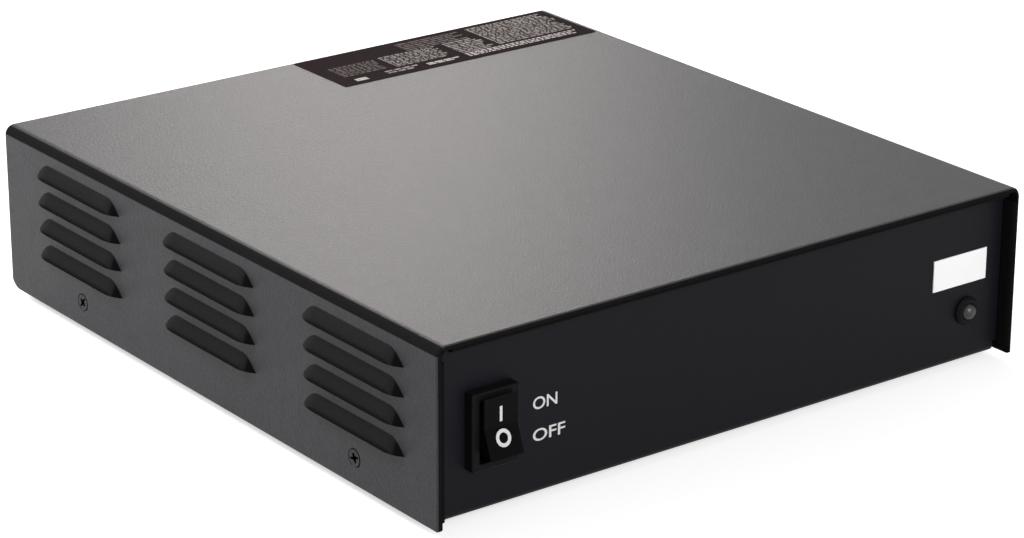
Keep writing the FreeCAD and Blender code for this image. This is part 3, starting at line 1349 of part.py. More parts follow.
def make_leads(name, radius, routes):
    """A group of leads, each along its own route."""
    item = DOC.addObject("Part::Feature", "%s_group" % name)
    item.Shape = Part.makeCompound([lead_shape(name, radius, route) for route in routes])
    node(item, name)


def make_all_leads():
    """The leads between the inlet, the switch, the lamp, the fan, the sockets and the board."""
    (line_x, live_z), (neutral_x, _), (earth_x, earth_z) = pin_points()
    line_y = PIN_TAIL - S.lead_reach
    make_leads("inlet_leads", S.mains_lead, [
        [(line_x, PIN_TAIL, live_z), (line_x, line_y, live_z), (line_x, line_y, BOARD_TOP)],
        [(neutral_x, PIN_TAIL, live_z), (neutral_x, line_y, live_z),
         (neutral_x, line_y, BOARD_TOP)],
        [(earth_x, PIN_TAIL, earth_z), (earth_x, PIN_TAIL - S.earth_reach, earth_z),
         (earth_x, PIN_TAIL - S.earth_reach, FLOOR)]])
    blade_end = -WALL + S.switch_body_depth + S.blade_length
    routes = []
    for step, reach in ((-1, S.lead_reach - S.lead_gap), (1, S.lead_reach)):
        z = PIVOT_Z + S.blade_pitch / 2 * step
        routes.append([(SWITCH_X, blade_end, z), (SWITCH_X, blade_end + reach, z),
                       (SWITCH_X, blade_end + reach, BOARD_TOP)])
    make_leads("switch_leads", S.mains_lead, routes)
    stud_end = WALL - S.gauge - S.socket_body_length - S.stud_radius - S.stud_length
    post_y = board_row(S.post_row)
    make_leads("output_leads", S.output_lead, [
        [(x, stud_end, MIDDLE), (x, post_y, MIDDLE), (x, post_y, BOARD_TOP + S.post_height)]
        for x in socket_columns()])
    fan_corner = S.fan_x - S.fan_size / 2 + S.thin_lead * 2.5
    make_leads("fan_leads", S.thin_lead, [
        [(x, FAN_FRONT, BOARD_TOP + S.fan_lead_rise),
         (x, FAN_FRONT - S.lead_reach, BOARD_TOP + S.fan_lead_rise),
         (x, FAN_FRONT - S.lead_reach, BOARD_TOP)]
        for x in (fan_corner - S.thin_lead * 1.2, fan_corner + S.thin_lead * 1.2)])
    lamp_end = -WALL + S.lamp_length - S.lamp_proud
    make_leads("lamp_leads", S.lamp_wire, [
        [(x, lamp_end, BASE + S.lamp_level), (x, lamp_end + S.lamp_reach, BASE + S.lamp_level),
         (x, lamp_end + S.lamp_reach, BOARD_TOP)]
        for x in (LAMP_X - S.lamp_wire * 2, LAMP_X + S.lamp_wire * 2)])


def export_nodes():
    """Checks every piece and writes each to its own file."""
    DOC.recompute()
    failed = [item.Name for item in DOC.Objects
              if "Invalid" in item.State or "Error" in item.State]
    if failed:
        raise RuntimeError("objects failed: %s" % ", ".join(failed))
    for item in NODES:
        if item.Shape.isNull() or not item.Shape.isValid() or not item.Shape.Solids:
            raise RuntimeError("%s has no valid solid" % item.Label)
    os.makedirs("parts", exist_ok=True)
    for item in NODES:
        item.Shape.exportStep(os.path.join("parts", "%s.step" % item.Label))
        print("%-20s %d solids %10.1f mm3" % (item.Label, len(item.Shape.Solids), item.Shape.Volume))


make_cover()
make_chassis()
make_cover_fasteners()
make_feet()
make_switch()
make_lamp()
make_labels()
make_board()
make_heat_sinks()
make_transformers()
make_capacitors()
make_chokes()
make_fuse()
make_control_board()
make_fan()
make_inlet()
make_sockets()
make_posts()
make_all_leads()
export_nodes()
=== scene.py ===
"""Looks of a flat desktop battery charger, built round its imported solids.

The charger stands on its feet at z = 0, faces -Y and has its switch near -X. Lengths of its
pieces and finishes are in millimetres, and become metres when a piece or a node is made. The
studio's lengths are in metres.
"""

import json
import logging
import math
import random
from dataclasses import dataclass
from enum import Enum
from functools import reduce
from typing import Any, Iterable, Optional, Sequence, Union

import bmesh
import bpy
from mathutils import Matrix, Vector

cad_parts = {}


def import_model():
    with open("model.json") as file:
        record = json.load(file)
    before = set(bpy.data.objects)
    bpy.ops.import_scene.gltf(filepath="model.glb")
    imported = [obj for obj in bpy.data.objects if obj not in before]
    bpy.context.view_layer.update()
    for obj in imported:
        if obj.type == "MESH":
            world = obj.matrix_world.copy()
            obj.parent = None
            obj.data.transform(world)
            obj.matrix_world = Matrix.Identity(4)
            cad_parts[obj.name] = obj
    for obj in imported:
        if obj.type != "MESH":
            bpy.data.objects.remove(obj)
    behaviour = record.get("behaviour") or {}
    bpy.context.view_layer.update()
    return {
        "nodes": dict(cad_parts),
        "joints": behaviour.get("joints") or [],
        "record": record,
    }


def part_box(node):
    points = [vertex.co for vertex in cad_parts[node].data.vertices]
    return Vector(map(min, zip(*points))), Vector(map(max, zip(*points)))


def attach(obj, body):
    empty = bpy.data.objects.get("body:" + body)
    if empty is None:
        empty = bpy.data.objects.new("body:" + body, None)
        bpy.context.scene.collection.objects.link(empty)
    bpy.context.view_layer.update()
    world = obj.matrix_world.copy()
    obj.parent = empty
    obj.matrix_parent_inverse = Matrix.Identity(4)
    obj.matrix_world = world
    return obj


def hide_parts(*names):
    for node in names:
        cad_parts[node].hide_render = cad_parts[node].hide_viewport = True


LOG = logging.getLogger("charger")
MM = 0.001
WHITE = (1.0, 1.0, 1.0, 1.0)
SUNK_SHARE = 0.3  # how far a print reaches into what carries it, as a share of its thickness

Color = tuple[float, float, float]
Point = tuple[float, float, float]
Profile = tuple[tuple[float, float], ...]
Mesh = bmesh.types.BMesh
Socket = bpy.types.NodeSocket
Key = Union[str, int]
Feed = Union[Socket, float, tuple[float, ...]]


class Pattern(Enum):
    """How the grain of a finish is stretched along x, y and z."""

    SPECKLE = (1.0, 1.0, 1.0)
    BRUSHED_ACROSS = (0.04, 1.0, 1.0)
    WOUND = (1.0, 0.25, 0.25)


class Curve(Enum):
    """How a ramp runs between its two ends."""

    EVEN = "LINEAR"
    SOFT = "SMOOTHSTEP"


class Body(Enum):
    """The bodies that the new pieces ride on."""

    CASE = "case"
    ROCKER = "rocker"


@dataclass(frozen=True)
class Finish:
    """One finish: its colours, its grain and how it takes light.

    The grain's and the cloud's sizes and the grain's depth are in millimetres.
    """

    name: str
    slot: str
    color: Color
    fleck: Color
    fleck_amount: float = 0.5
    grain: float = 0.8
    grain_depth: float = 0.02
    roughness: float = 0.5
    roughness_spread: float = 0.08
    cloud: float = 60.0
    cloud_amount: float = 0.1
    metallic: float = 0.0
    coat: float = 0.0
    specular: float = 0.5
    transmission: float = 0.0
    pattern: Pattern = Pattern.SPECKLE


# The solids take the first finish of their slot.
FINISHES: tuple[Finish, ...] = (
    Finish("cover_powder_coat", "cover_paint", (0.04, 0.039, 0.042), (0.024, 0.023, 0.026),
           fleck_amount=0.6, grain=0.75, grain_depth=0.09, roughness=0.33,
           roughness_spread=0.2, cloud=6.0, cloud_amount=0.3, specular=0.1),
    Finish("chassis_powder_coat", "chassis_paint", (0.0065, 0.006, 0.0085),
           (0.0095, 0.009, 0.012), fleck_amount=0.4, grain=0.5, grain_depth=0.02,
           roughness=0.45, cloud_amount=0.04, specular=0.07),
    Finish("dark_screw_plating", "screw_black", (0.028, 0.028, 0.03), (0.05, 0.05, 0.052),
           grain=0.4, grain_depth=0.008, roughness=0.5, metallic=0.5, specular=0.2),
    Finish("zinc_plating", "plain_steel", (0.55, 0.56, 0.57), (0.42, 0.43, 0.44),
           grain=1.2, grain_depth=0.006, roughness=0.3, metallic=1.0),
    Finish("foot_rubber", "foot_rubber", (0.02, 0.02, 0.02), (0.035, 0.035, 0.035),
           grain=0.6, grain_depth=0.03, roughness=0.8),
    Finish("moulded_black", "black_plastic", (0.005, 0.005, 0.0055), (0.009, 0.009, 0.0095),
           grain=0.35, grain_depth=0.015, roughness=0.48, specular=0.05),
    Finish("fan_moulding", "black_plastic", (0.03, 0.03, 0.032), (0.042, 0.042, 0.044),
           grain=0.35, grain_depth=0.012, roughness=0.4, specular=0.35),
    Finish("polished_black", "gloss_black_plastic", (0.0015, 0.0015, 0.0018),
           (0.003, 0.003, 0.0035), grain=2.0, grain_depth=0.004, roughness=0.3,
           roughness_spread=0.05, specular=0.04),
    Finish("smoky_resin", "clear_plastic", (0.012, 0.012, 0.014), (0.008, 0.008, 0.01),
           grain=3.0, grain_depth=0.002, roughness=0.32, roughness_spread=0.02,
           specular=0.6, transmission=0.2),
    Finish("white_foil", "white_foil", (0.96, 0.96, 0.96), (0.92, 0.92, 0.93),
           fleck_amount=0.3, grain=0.6, grain_depth=0.003, roughness=0.35),
    Finish("black_foil", "black_foil", (0.024, 0.018, 0.018), (0.034, 0.026, 0.026),
           grain=0.8, grain_depth=0.004, roughness=0.45, specular=0.0),
    Finish("solder_mask", "board", (0.02, 0.11, 0.05), (0.03, 0.17, 0.07),
           grain=2.5, grain_depth=0.02, roughness=0.35, coat=0.3),
    Finish("extruded_aluminium", "aluminium", (0.66, 0.67, 0.68), (0.55, 0.56, 0.57),
           grain=1.0, grain_depth=0.01, roughness=0.36, metallic=1.0,
           pattern=Pattern.BRUSHED_ACROSS),
    Finish("turned_brass", "brass", (0.62, 0.45, 0.2), (0.52, 0.38, 0.17),
           grain=0.8, grain_depth=0.006, roughness=0.28, metallic=1.0),
    Finish("sintered_ferrite", "ferrite", (0.03, 0.03, 0.032), (0.05, 0.05, 0.052),
           grain=0.7, grain_depth=0.03, roughness=0.6),
    Finish("yellow_tape", "coil_tape", (0.62, 0.42, 0.05), (0.52, 0.34, 0.04),
           grain=3.0, grain_depth=0.05, roughness=0.35, pattern=Pattern.WOUND),
    Finish("enamelled_wire", "enamel_wire", (0.42, 0.16, 0.05), (0.3, 0.1, 0.03),
           grain=1.2, grain_depth=0.2, roughness=0.28, metallic=0.8, coat=0.5,
           pattern=Pattern.WOUND),
    Finish("shrink_sleeve", "capacitor_sleeve", (0.02, 0.028, 0.07), (0.03, 0.04, 0.1),
           grain=4.0, grain_depth=0.02, roughness=0.3),
    Finish("film_box", "film_box", (0.5, 0.36, 0.05), (0.42, 0.3, 0.04),
           grain=0.8, grain_depth=0.01, roughness=0.4),
    Finish("fuse_glass", "fuse_glass", (0.9, 0.93, 0.92), (0.85, 0.88, 0.88),
           grain=3.0, grain_depth=0.002, roughness=0.08, transmission=0.9),
    Finish("moulded_package", "component_black", (0.018, 0.018, 0.018), (0.03, 0.03, 0.03),
           grain=0.3, grain_depth=0.012, roughness=0.55),
    Finish("insulating_film", "sheet_film", (0.5, 0.5, 0.44), (0.44, 0.44, 0.39),
           grain=5.0, grain_depth=0.01, roughness=0.45),
    Finish("moulded_red", "red_plastic", (0.5, 0.012, 0.012), (0.42, 0.01, 0.01),
           grain=0.4, grain_depth=0.012, roughness=0.35, coat=0.15),
    Finish("lead_insulation", "lead_cover", (0.03, 0.03, 0.03), (0.05, 0.05, 0.05),
           grain=0.6, grain_depth=0.01, roughness=0.5),
    Finish("white_print", "white_foil", (0.66, 0.66, 0.65), (0.58, 0.58, 0.57),
           fleck_amount=0.4, grain=0.4, grain_depth=0.004, roughness=0.5),
    Finish("dim_print", "white_foil", (0.17, 0.145, 0.142), (0.07, 0.058, 0.056),
           fleck_amount=0.8, grain=1.1, grain_depth=0.003, roughness=0.5, specular=0.0),
    Finish("grey_print", "white_foil", (0.36, 0.33, 0.32), (0.11, 0.095, 0.09),
           fleck_amount=0.9, grain=1.3, grain_depth=0.003, roughness=0.5, specular=0.0),
    Finish("pale_print", "white_foil", (0.55, 0.52, 0.51), (0.25, 0.22, 0.21),
           fleck_amount=0.6, grain=1.1, grain_depth=0.003, roughness=0.5, specular=0.0),
)
# Solids that take another one.
OWN_FINISHES = {"fan_frame": "fan_moulding", "fan_rotor": "fan_moulding"}


@dataclass(frozen=True)
class PaintedShade:
    """Painted shade on the cover: where its paint is made darker and duller, and what is left
    there.

    Places are in millimetres from the middle of the charger's footprint, and a softness is how
    far a change takes. A value that ends in left is the share of the colour that stays, rougher
    is added to the roughness, and a value that ends in dull is the least roughness.
    """

    finish: str = "cover_powder_coat"
    softness: float = 0.12
    left: float = 0.135
    rougher: float = 0.35
    hood: float = 100.03
    front_end_lean: tuple[float, float] = (0.15, 0.35)
    front_end_left: float = 0.1
    lip: float = 100.9
    lip_softness: float = 1.5
    lip_left: float = 0.28
    lip_dull: float = 0.95
    bend_side: float = 98.15
    bend_top: float = 49.9
    bend_dull: float = 0.9
    hem: float = 105.75
    inside_side: float = 98.95
    inside_top: float = 51.45
    inside_softness: float = 0.1
    inside_left: float = 0.2


class NodeKit:
    """Adds nodes to a shader tree and links them up."""

    def __init__(self, tree: bpy.types.ShaderNodeTree) -> None:
        """Keeps the tree that the nodes go into."""
        self.tree = tree

    def feed(self, node: bpy.types.Node, values: dict[Key, Feed]) -> None:
        """Links or sets inputs of a node.

        Args:
            node: the node.
            values: a socket or a plain value for each input, by its name or number.
        """
        for key, value in values.items():
            if isinstance(value, Socket):
                self.tree.links.new(value, node.inputs[key])
            else:
                node.inputs[key].default_value = value

    def add(self, kind: str, values: Optional[dict[Key, Feed]] = None,
            **settings: Any) -> bpy.types.Node:
        """Adds a node.

        Args:
            kind: the node's type.
            values: a socket or a plain value for each input, by its name or number.
            settings: the node's own settings, made before its inputs are fed.

        Returns:
            The new node.
        """
        node = self.tree.nodes.new(kind)
        for name, setting in settings.items():
            setattr(node, name, setting)
        self.feed(node, values or {})
        return node

    def math(self, operation: str, *values: Feed) -> Socket:
        """Gives the result of an operation on one to three values."""
        node = self.add("ShaderNodeMath", dict(enumerate(values)), operation=operation)
        return node.outputs[0]

    def most(self, *values: Socket) -> Socket:
        """Gives the largest of several values."""
        return reduce(lambda first, second: self.math("MAXIMUM", first, second), values)

    def ramp(self, value: Socket, start: float, end: float, low: Feed = 0.0, high: Feed = 1.0,
             curve: Curve = Curve.EVEN) -> Socket:
        """Gives what runs from low to high while a value runs from start to end.

        Args:
            value: the value that drives it.
            start: where it starts to change.
            end: where it stops.
            low: what it gives up to the start.
            high: what it gives from the end.
            curve: how it runs between them.

        Returns:
            The result.
        """
        values = {"Value": value, "From Min": start, "From Max": end, "To Min": low,
                  "To Max": high}
        return self.add("ShaderNodeMapRange", values,
                        interpolation_type=curve.value).outputs["Result"]

    def above(self, value: Socket, start: float, softness: float) -> Socket:
        """Gives a mask that rises from zero to one just above a length in millimetres."""
        return self.ramp(value, start * MM, (start + softness) * MM, curve=Curve.SOFT)

    def below(self, value: Socket, end: float, softness: float) -> Socket:
        """Gives a mask that falls from one to zero just below a length in millimetres."""
        return self.ramp(value, (end - softness) * MM, end * MM, 1.0, 0.0, Curve.SOFT)

    def split(self, vector: Socket) -> list[Socket]:
        """Gives the x, y and z of a vector."""
        return list(self.add("ShaderNodeSeparateXYZ", {0: vector}).outputs)

    def dim(self, color: Socket, share: Socket) -> Socket:
        """Gives a colour times a share."""
        values = {0: color, "Scale": share}
        return self.add("ShaderNodeVectorMath", values, operation="SCALE").outputs[0]

    def noise(self, place: Socket, size: Socket, detail: float, share: float = 1.0) -> Socket:
        """Gives a noise whose features have a size in millimetres.

        Args:
            place: the coordinates to read.
            size: the size.
            detail: octaves of the noise.
            share: how large the features are, as a share of the size.

        Returns:
            The noise, from zero to one.
        """
        scale = self.math("DIVIDE", 1.0 / MM / share, size)
        values = {"Vector": place, "Scale": scale, "Detail": detail}
        return self.add("ShaderNodeTexNoise", values).outputs["Fac"]

    def swing(self, noise: Socket, amount: Socket) -> Socket:
        """Gives a factor that swings round one by half an amount each way."""
        return self.math("MULTIPLY_ADD", self.math("SUBTRACT", noise, 0.5), amount, 1.0)


class FinishShop:
    """Builds the shader group and the materials, and dresses pieces by a finish's name."""

    GROUP = "surface_grain"
    INPUTS = {"Color": "Color", "Fleck": "Color", "Fleck Amount": "Float", "Grain": "Float",
              "Stretch": "Vector", "Roughness": "Float", "Roughness Spread": "Float",
              "Cloud": "Float", "Cloud Amount": "Float"}
    OUTPUTS = {"Color": "Color", "Roughness": "Float", "Height": "Float"}
    GRAIN_DETAIL = 3.0
    FINE_DETAIL = 6.0
    FINE_SHARE = 0.35
    CLOUD_DETAIL = 2.0
    FLECK_EDGES = (0.38, 0.66)

    def __init__(self, finishes: Sequence[Finish]) -> None:
        """Builds the shared group and one material for each finish.

        Args:
            finishes: every finish that the charger has, the main one of a slot first.
        """
        self.group = self._build_group()
        self.by_name = {finish.name: self._build_material(finish) for finish in finishes}
        # painted shade: the cover's hoods, lips, bends, front hems and inside faces are
        # darkened
        self._paint_shade(PaintedShade())
        self.slot_of = {finish.name: finish.slot for finish in finishes}
        self.finish_for = {finish.slot: finish.name for finish in reversed(finishes)}

    def _build_group(self) -> bpy.types.ShaderNodeTree:
        """Makes the group that varies colour, roughness and height with a grain.

        Returns:
            The node group, with named inputs and outputs.
        """
        tree = bpy.data.node_groups.new(self.GROUP, "ShaderNodeTree")
        for way, sockets in (("INPUT", self.INPUTS), ("OUTPUT", self.OUTPUTS)):
            for name, kind in sockets.items():
                tree.interface.new_socket(name, in_out=way, socket_type="NodeSocket" + kind)
        nodes = NodeKit(tree)
        given = nodes.add("NodeGroupInput").outputs
        place = nodes.add("ShaderNodeTexCoord").outputs["Object"]
        stretched = nodes.add("ShaderNodeVectorMath", {0: place, 1: given["Stretch"]},
                              operation="MULTIPLY").outputs[0]
        grain = nodes.noise(stretched, given["Grain"], self.GRAIN_DETAIL)
        fine = nodes.noise(stretched, given["Grain"], self.FINE_DETAIL, self.FINE_SHARE)
        cloud = nodes.noise(place, given["Cloud"], self.CLOUD_DETAIL)
        fleck = nodes.ramp(grain, *self.FLECK_EDGES, high=given["Fleck Amount"])
        colors = {"Factor": fleck, "A": given["Color"], "B": given["Fleck"]}
        color = nodes.add("ShaderNodeMix", colors, data_type="RGBA").outputs["Result"]
        nodes.add("NodeGroupOutput", {
            "Color": nodes.dim(color, nodes.swing(cloud, given["Cloud Amount"])),
            "Roughness": nodes.math("MULTIPLY", nodes.swing(fine, given["Roughness Spread"]),
                                    given["Roughness"]),
            "Height": nodes.math("ADD", grain, fine)})
        return tree

    def _build_material(self, finish: Finish) -> bpy.types.Material:
        """Makes the material of one finish.

        Args:
            finish: the colours and values of the finish.

        Returns:
            The material.
        """
        material = bpy.data.materials.new(finish.name)
        material.use_nodes = True
        material.diffuse_color = (*finish.color, 1.0)
        nodes = NodeKit(material.node_tree)
        grain = nodes.add("ShaderNodeGroup", {
            "Color": (*finish.color, 1.0), "Fleck": (*finish.fleck, 1.0),
            "Fleck Amount": finish.fleck_amount, "Grain": finish.grain,
            "Stretch": finish.pattern.value, "Roughness": finish.roughness,
            "Roughness Spread": 2 * finish.roughness_spread, "Cloud": finish.cloud,
            "Cloud Amount": finish.cloud_amount}, node_tree=self.group).outputs
        bump = nodes.add("ShaderNodeBump", {"Strength": 1.0, "Height": grain["Height"],
                                            "Distance": finish.grain_depth * MM})
        nodes.feed(material.node_tree.nodes["Principled BSDF"], {
            "Base Color": grain["Color"], "Roughness": grain["Roughness"],
            "Normal": bump.outputs["Normal"], "Metallic": finish.metallic,
            "Coat Weight": finish.coat, "Specular IOR Level": finish.specular,
            "Transmission Weight": finish.transmission})
        return material

    def _paint_shade(self, shade: PaintedShade) -> None:
        """Paints shade into a paint, darker and duller, where the sheet is raised, bent or
        turned inwards.

        Args:
            shade: the places, and what is left of the paint there.
        """
        tree = self.by_name[shade.finish].node_tree
        nodes = NodeKit(tree)
        x, y, z = nodes.split(nodes.add("ShaderNodeTexCoord").outputs["Object"])
        lean = nodes.split(nodes.add("ShaderNodeNewGeometry").outputs["Normal"])[1]
        side = nodes.math("ABSOLUTE", x)
        soft = shade.softness
        hood = nodes.above(side, shade.hood, soft)
        front_end = nodes.math("MULTIPLY", hood, nodes.ramp(
            nodes.math("MULTIPLY", lean, -1.0), *shade.front_end_lean, curve=Curve.SOFT))
        lip = nodes.above(side, shade.lip, shade.lip_softness)
        bend = nodes.math("MULTIPLY", nodes.above(side, shade.bend_side, soft),
                          nodes.above(z, shade.bend_top, soft))
        hem = nodes.above(nodes.math("MULTIPLY", y, -1.0), shade.hem, soft)
        soft = shade.inside_softness
        inside = nodes.math("MULTIPLY", nodes.below(side, shade.inside_side, soft),
                            nodes.below(z, shade.inside_top, soft))
        # painted shade: hoods, bends under the top, front hems and inside faces, darkened where
        # shade falls
        dark = nodes.most(hood, bend, hem, inside)
        shader = tree.nodes["Principled BSDF"]
        color, rough = (shader.inputs[name].links[0].from_socket
                        for name in ("Base Color", "Roughness"))
        # painted shade: the colour is dimmed under each mask, more on the lips, the hood front
        # ends and the inside
        for mask, left in ((dark, shade.left), (lip, shade.lip_left),
                           (front_end, shade.front_end_left), (inside, shade.inside_left)):
            color = nodes.dim(color, nodes.ramp(mask, 0.0, 1.0, 1.0, left))
        rough = nodes.most(
            nodes.math("ADD", rough, nodes.math("MULTIPLY", dark, shade.rougher)),
            nodes.math("MULTIPLY", lip, shade.lip_dull),
            nodes.math("MULTIPLY", bend, shade.bend_dull), front_end, hem, inside)
        nodes.feed(shader, {"Base Color": color, "Roughness": rough})

    def dress(self, piece: bpy.types.Object, name: str) -> None:
        """Gives a piece one finish all over, in place of what it had."""
        piece.data.materials.clear()
        piece.data.materials.append(self.by_name[name])


class Workbench:
    """Turns meshes in millimetres into finished pieces of the charger."""

    MERGE = 1e-4
    SMOOTH_ANGLE = math.radians(35.0)

    def __init__(self, shop: FinishShop) -> None:
        """Keeps the shop that the finishes come from."""
        self.shop = shop

    def piece(self, name: str, mesh: Mesh, finish: str, body: Body,
              replaces: Sequence[str] = ()) -> None:
        """Makes a piece from a mesh in millimetres and lets it ride on a body.

        Args:
            name: the piece's name.
            mesh: its mesh in millimetres; it is freed here.
            finish: the name of its finish.
            body: the body that it rides on.
            replaces: the solids that it stands for.
        """
        bmesh.ops.remove_doubles(mesh, verts=mesh.verts, dist=self.MERGE)
        bmesh.ops.recalc_face_normals(mesh, faces=mesh.faces)
        bmesh.ops.transform(mesh, matrix=Matrix.Scale(MM, 4), verts=mesh.verts)
        for face in mesh.faces:
            face.smooth = True
        for edge in mesh.edges:
            edge.smooth = (len(edge.link_faces) == 2
                           and edge.calc_face_angle(0.0) < self.SMOOTH_ANGLE)
        data = bpy.data.meshes.new(name)
        mesh.to_mesh(data)
        mesh.free()
        made = bpy.data.objects.new(name, data)
        bpy.context.scene.collection.objects.link(made)
        self.shop.dress(made, finish)
        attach(made, body.value)
        if replaces:
            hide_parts(*replaces)
        LOG.info("%s: %d faces on %s", name, len(data.polygons), body.value)


def span(node: str) -> tuple[Vector, Vector]:
    """Gives the lowest and highest corner of a solid in millimetres."""
    low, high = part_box(node)
    return low / MM, high / MM


def of_kind(items: Iterable[Any], kind: type) -> list[Any]:
    """Gives the vertices, edges or faces among what an operator made."""
    return [item for item in items if isinstance(item, kind)]


def flat_bar(mesh: Mesh, width: float, height: float) -> list[bmesh.types.BMVert]:
    """Adds a flat bar round the origin.

    Args:
        mesh: the mesh that it becomes part of.
        width: its size along x.
        height: its size along y.

    Returns:
        Its vertices.
    """
    made = bmesh.ops.create_grid(mesh, x_segments=1, y_segments=1, size=0.5)["verts"]
    bmesh.ops.scale(mesh, vec=(width, height, 1.0), verts=made)
    return made


@dataclass
class CrossScrew:
    """A screw with a cross recess, drawn along +Z with its seat at zero.

    The profile lists radius and height, from the top of the head to the end of the shank.
    """

    profile: Profile
    reach: float = 1.45
    half_width: float = 0.36
    depth: float = 1.1
    taper: float = 0.5
    segments: int = 32

    def add_to(self, mesh: Mesh, place: Matrix) -> None:
        """Adds the screw to a mesh.

        Args:
            mesh: the mesh that the screw becomes part of.
            place: where the screw's seat and axis go.
        """
        before = set(mesh.verts)
        rim = self._top(mesh)
        own = [vert for vert in mesh.verts if vert not in before]
        bmesh.ops.translate(mesh, vec=(0, 0, self.profile[0][1]), verts=own)
        self._sides(mesh, rim)
        own = [vert for vert in mesh.verts if vert not in before]
        bmesh.ops.transform(mesh, matrix=place, verts=own)

    def _top(self, mesh: Mesh) -> list[bmesh.types.BMEdge]:
        """Makes the round top with its sunk cross, at z = 0.

        Args:
            mesh: the mesh that it becomes part of.

        Returns:
            The edges of its rim.
        """
        grid = bmesh.ops.create_grid(mesh, x_segments=3, y_segments=3, size=self.reach)["verts"]
        for vert in grid:
            for axis in (0, 1):
                if abs(vert.co[axis]) < self.reach / 2:  # one of the grid's inner lines
                    vert.co[axis] = math.copysign(self.half_width, vert.co[axis])
        faces = dict.fromkeys(face for vert in grid for face in vert.link_faces)
        corners = [face for face in faces
                   if all(abs(v) > self.half_width for v in face.calc_center_median()[:2])]
        bmesh.ops.delete(mesh, geom=corners, context="FACES")
        cross = [face for face in faces if face.is_valid]
        inner = [edge for face in cross for edge in face.edges if len(edge.link_faces) == 1]
        circle = bmesh.ops.create_circle(mesh, segments=self.segments, cap_ends=False,
                                         radius=self.profile[0][0])["verts"]
        rim = list(dict.fromkeys(edge for vert in circle for edge in vert.link_edges))
        bmesh.ops.bridge_loops(mesh, edges=inner + rim)
        sunk = bmesh.ops.extrude_face_region(mesh, geom=cross)["geom"]
        bottom = of_kind(sunk, bmesh.types.BMVert)
        bmesh.ops.scale(mesh, vec=(self.taper, self.taper, 1.0), verts=bottom)
        bmesh.ops.translate(mesh, vec=(0, 0, -self.depth), verts=bottom)
        bmesh.ops.delete(mesh, geom=cross, context="FACES")
        return rim

    def _sides(self, mesh: Mesh, rim: list[bmesh.types.BMEdge]) -> None:
        """Grows the head's side and the shank from the rim, and closes the end.

        Args:
            mesh: the mesh that they become part of.
            rim: the edges of the top's rim.
        """
        for (radius, level), (next_radius, next_level) in zip(self.profile, self.profile[1:]):
            grown = bmesh.ops.extrude_edge_only(mesh, edges=rim)["geom"]
            ring = of_kind(grown, bmesh.types.BMVert)
            ratio = next_radius / radius
            bmesh.ops.scale(mesh, vec=(ratio, ratio, 1.0), verts=ring)
            bmesh.ops.translate(mesh, vec=(0, 0, next_level - level), verts=ring)
            rim = [edge for edge in of_kind(grown, bmesh.types.BMEdge)
                   if all(vert in ring for vert in edge.verts)]
        bmesh.ops.contextual_create(mesh, geom=rim)


@dataclass
class Fasteners:
    """The screws that show, each group standing for the solids of its node."""

    bench: Workbench
    finish: str = "dark_screw_plating"
    cover_head: float = 2.75
    cover_profile: Profile = ((2.31, 0.0), (2.2, -0.5), (1.5, -1.2), (1.5, -6.0))
    pan_head: float = 2.8
    pan_profile: Profile = ((1.68, 2.0), (2.408, 1.56), (2.8, 0.9), (2.8, 0.0), (1.5, 0.0))
    pan_reach: float = 1.25
    fan_length: float = 9.0
    inlet_length: float = 8.0
    turns: tuple[float, ...] = (20.0, 52.0, 8.0, 75.0)

    def build(self) -> None:
        """Makes the cover's, the fan's and the inlet's screws."""
        self._cover_screws()
        self._pan_screws("fan_screws", 2, self.fan_length)
        self._pan_screws("inlet_screws", 1, self.inlet_length)

    def _cover_screws(self) -> None:
        """Makes the countersunk screws in both sides of the cover."""
        low, high = span("cover_screws")
        level = (low.z + high.z) / 2
        seats = [Matrix.Translation((x, y, level)) @ Matrix.Rotation(math.radians(turn), 4, "Y")
                 for x, turn in ((low.x, -90), (high.x, 90))
                 for y in (low.y + self.cover_head, high.y - self.cover_head)]
        self._place("cover_screws", CrossScrew(self.cover_profile), seats)

    def _pan_screws(self, node: str, rows: int, length: float) -> None:
        """Makes pan head screws that point into the rear wall, in two columns.

        Args:
            node: the solids that the screws stand for.
            rows: whether they stand in one row or in two.
            length: a screw's length below its head.
        """
        low, high = span(node)
        seat = high.y - self.pan_profile[0][1]
        levels = ((low.z + self.pan_head, high.z - self.pan_head) if rows == 2
                  else ((low.z + high.z) / 2,))
        seats = [Matrix.Translation((x, seat, z)) @ Matrix.Rotation(math.radians(-90), 4, "X")
                 for x in (low.x + self.pan_head, high.x - self.pan_head) for z in levels]
        shank = self.pan_profile[-1][0]
        screw = CrossScrew((*self.pan_profile, (shank, -length)), reach=self.pan_reach)
        self._place(node, screw, seats)

    def _place(self, node: str, screw: CrossScrew, seats: Sequence[Matrix]) -> None:
        """Makes one piece of a node's screws, each with its cross turned its own way.

        Args:
            node: the solids that the screws stand for.
            screw: the screw that stands in every seat.
            seats: where the screws' seats and axes go.
        """
        mesh = bmesh.new()
        for seat, turn in zip(seats, self.turns):
            screw.add_to(mesh, seat @ Matrix.Rotation(math.radians(turn), 4, "Z"))
        self.bench.piece("cross_recess_" + node, mesh, self.finish, Body.CASE, (node,))


def thicken(mesh: Mesh, thickness: float) -> None:
    """Gives flat faces a thickness that starts a little below them.

    Args:
        mesh: flat faces at z = 0.
        thickness: how far they stand out.
    """
    sunk = thickness * SUNK_SHARE
    bmesh.ops.translate(mesh, vec=(0, 0, -sunk), verts=mesh.verts)
    grown = bmesh.ops.extrude_face_region(mesh, geom=list(mesh.faces), use_keep_orig=True)
    top = of_kind(grown["geom"], bmesh.types.BMVert)
    bmesh.ops.translate(mesh, vec=(0, 0, thickness + sunk), verts=top)


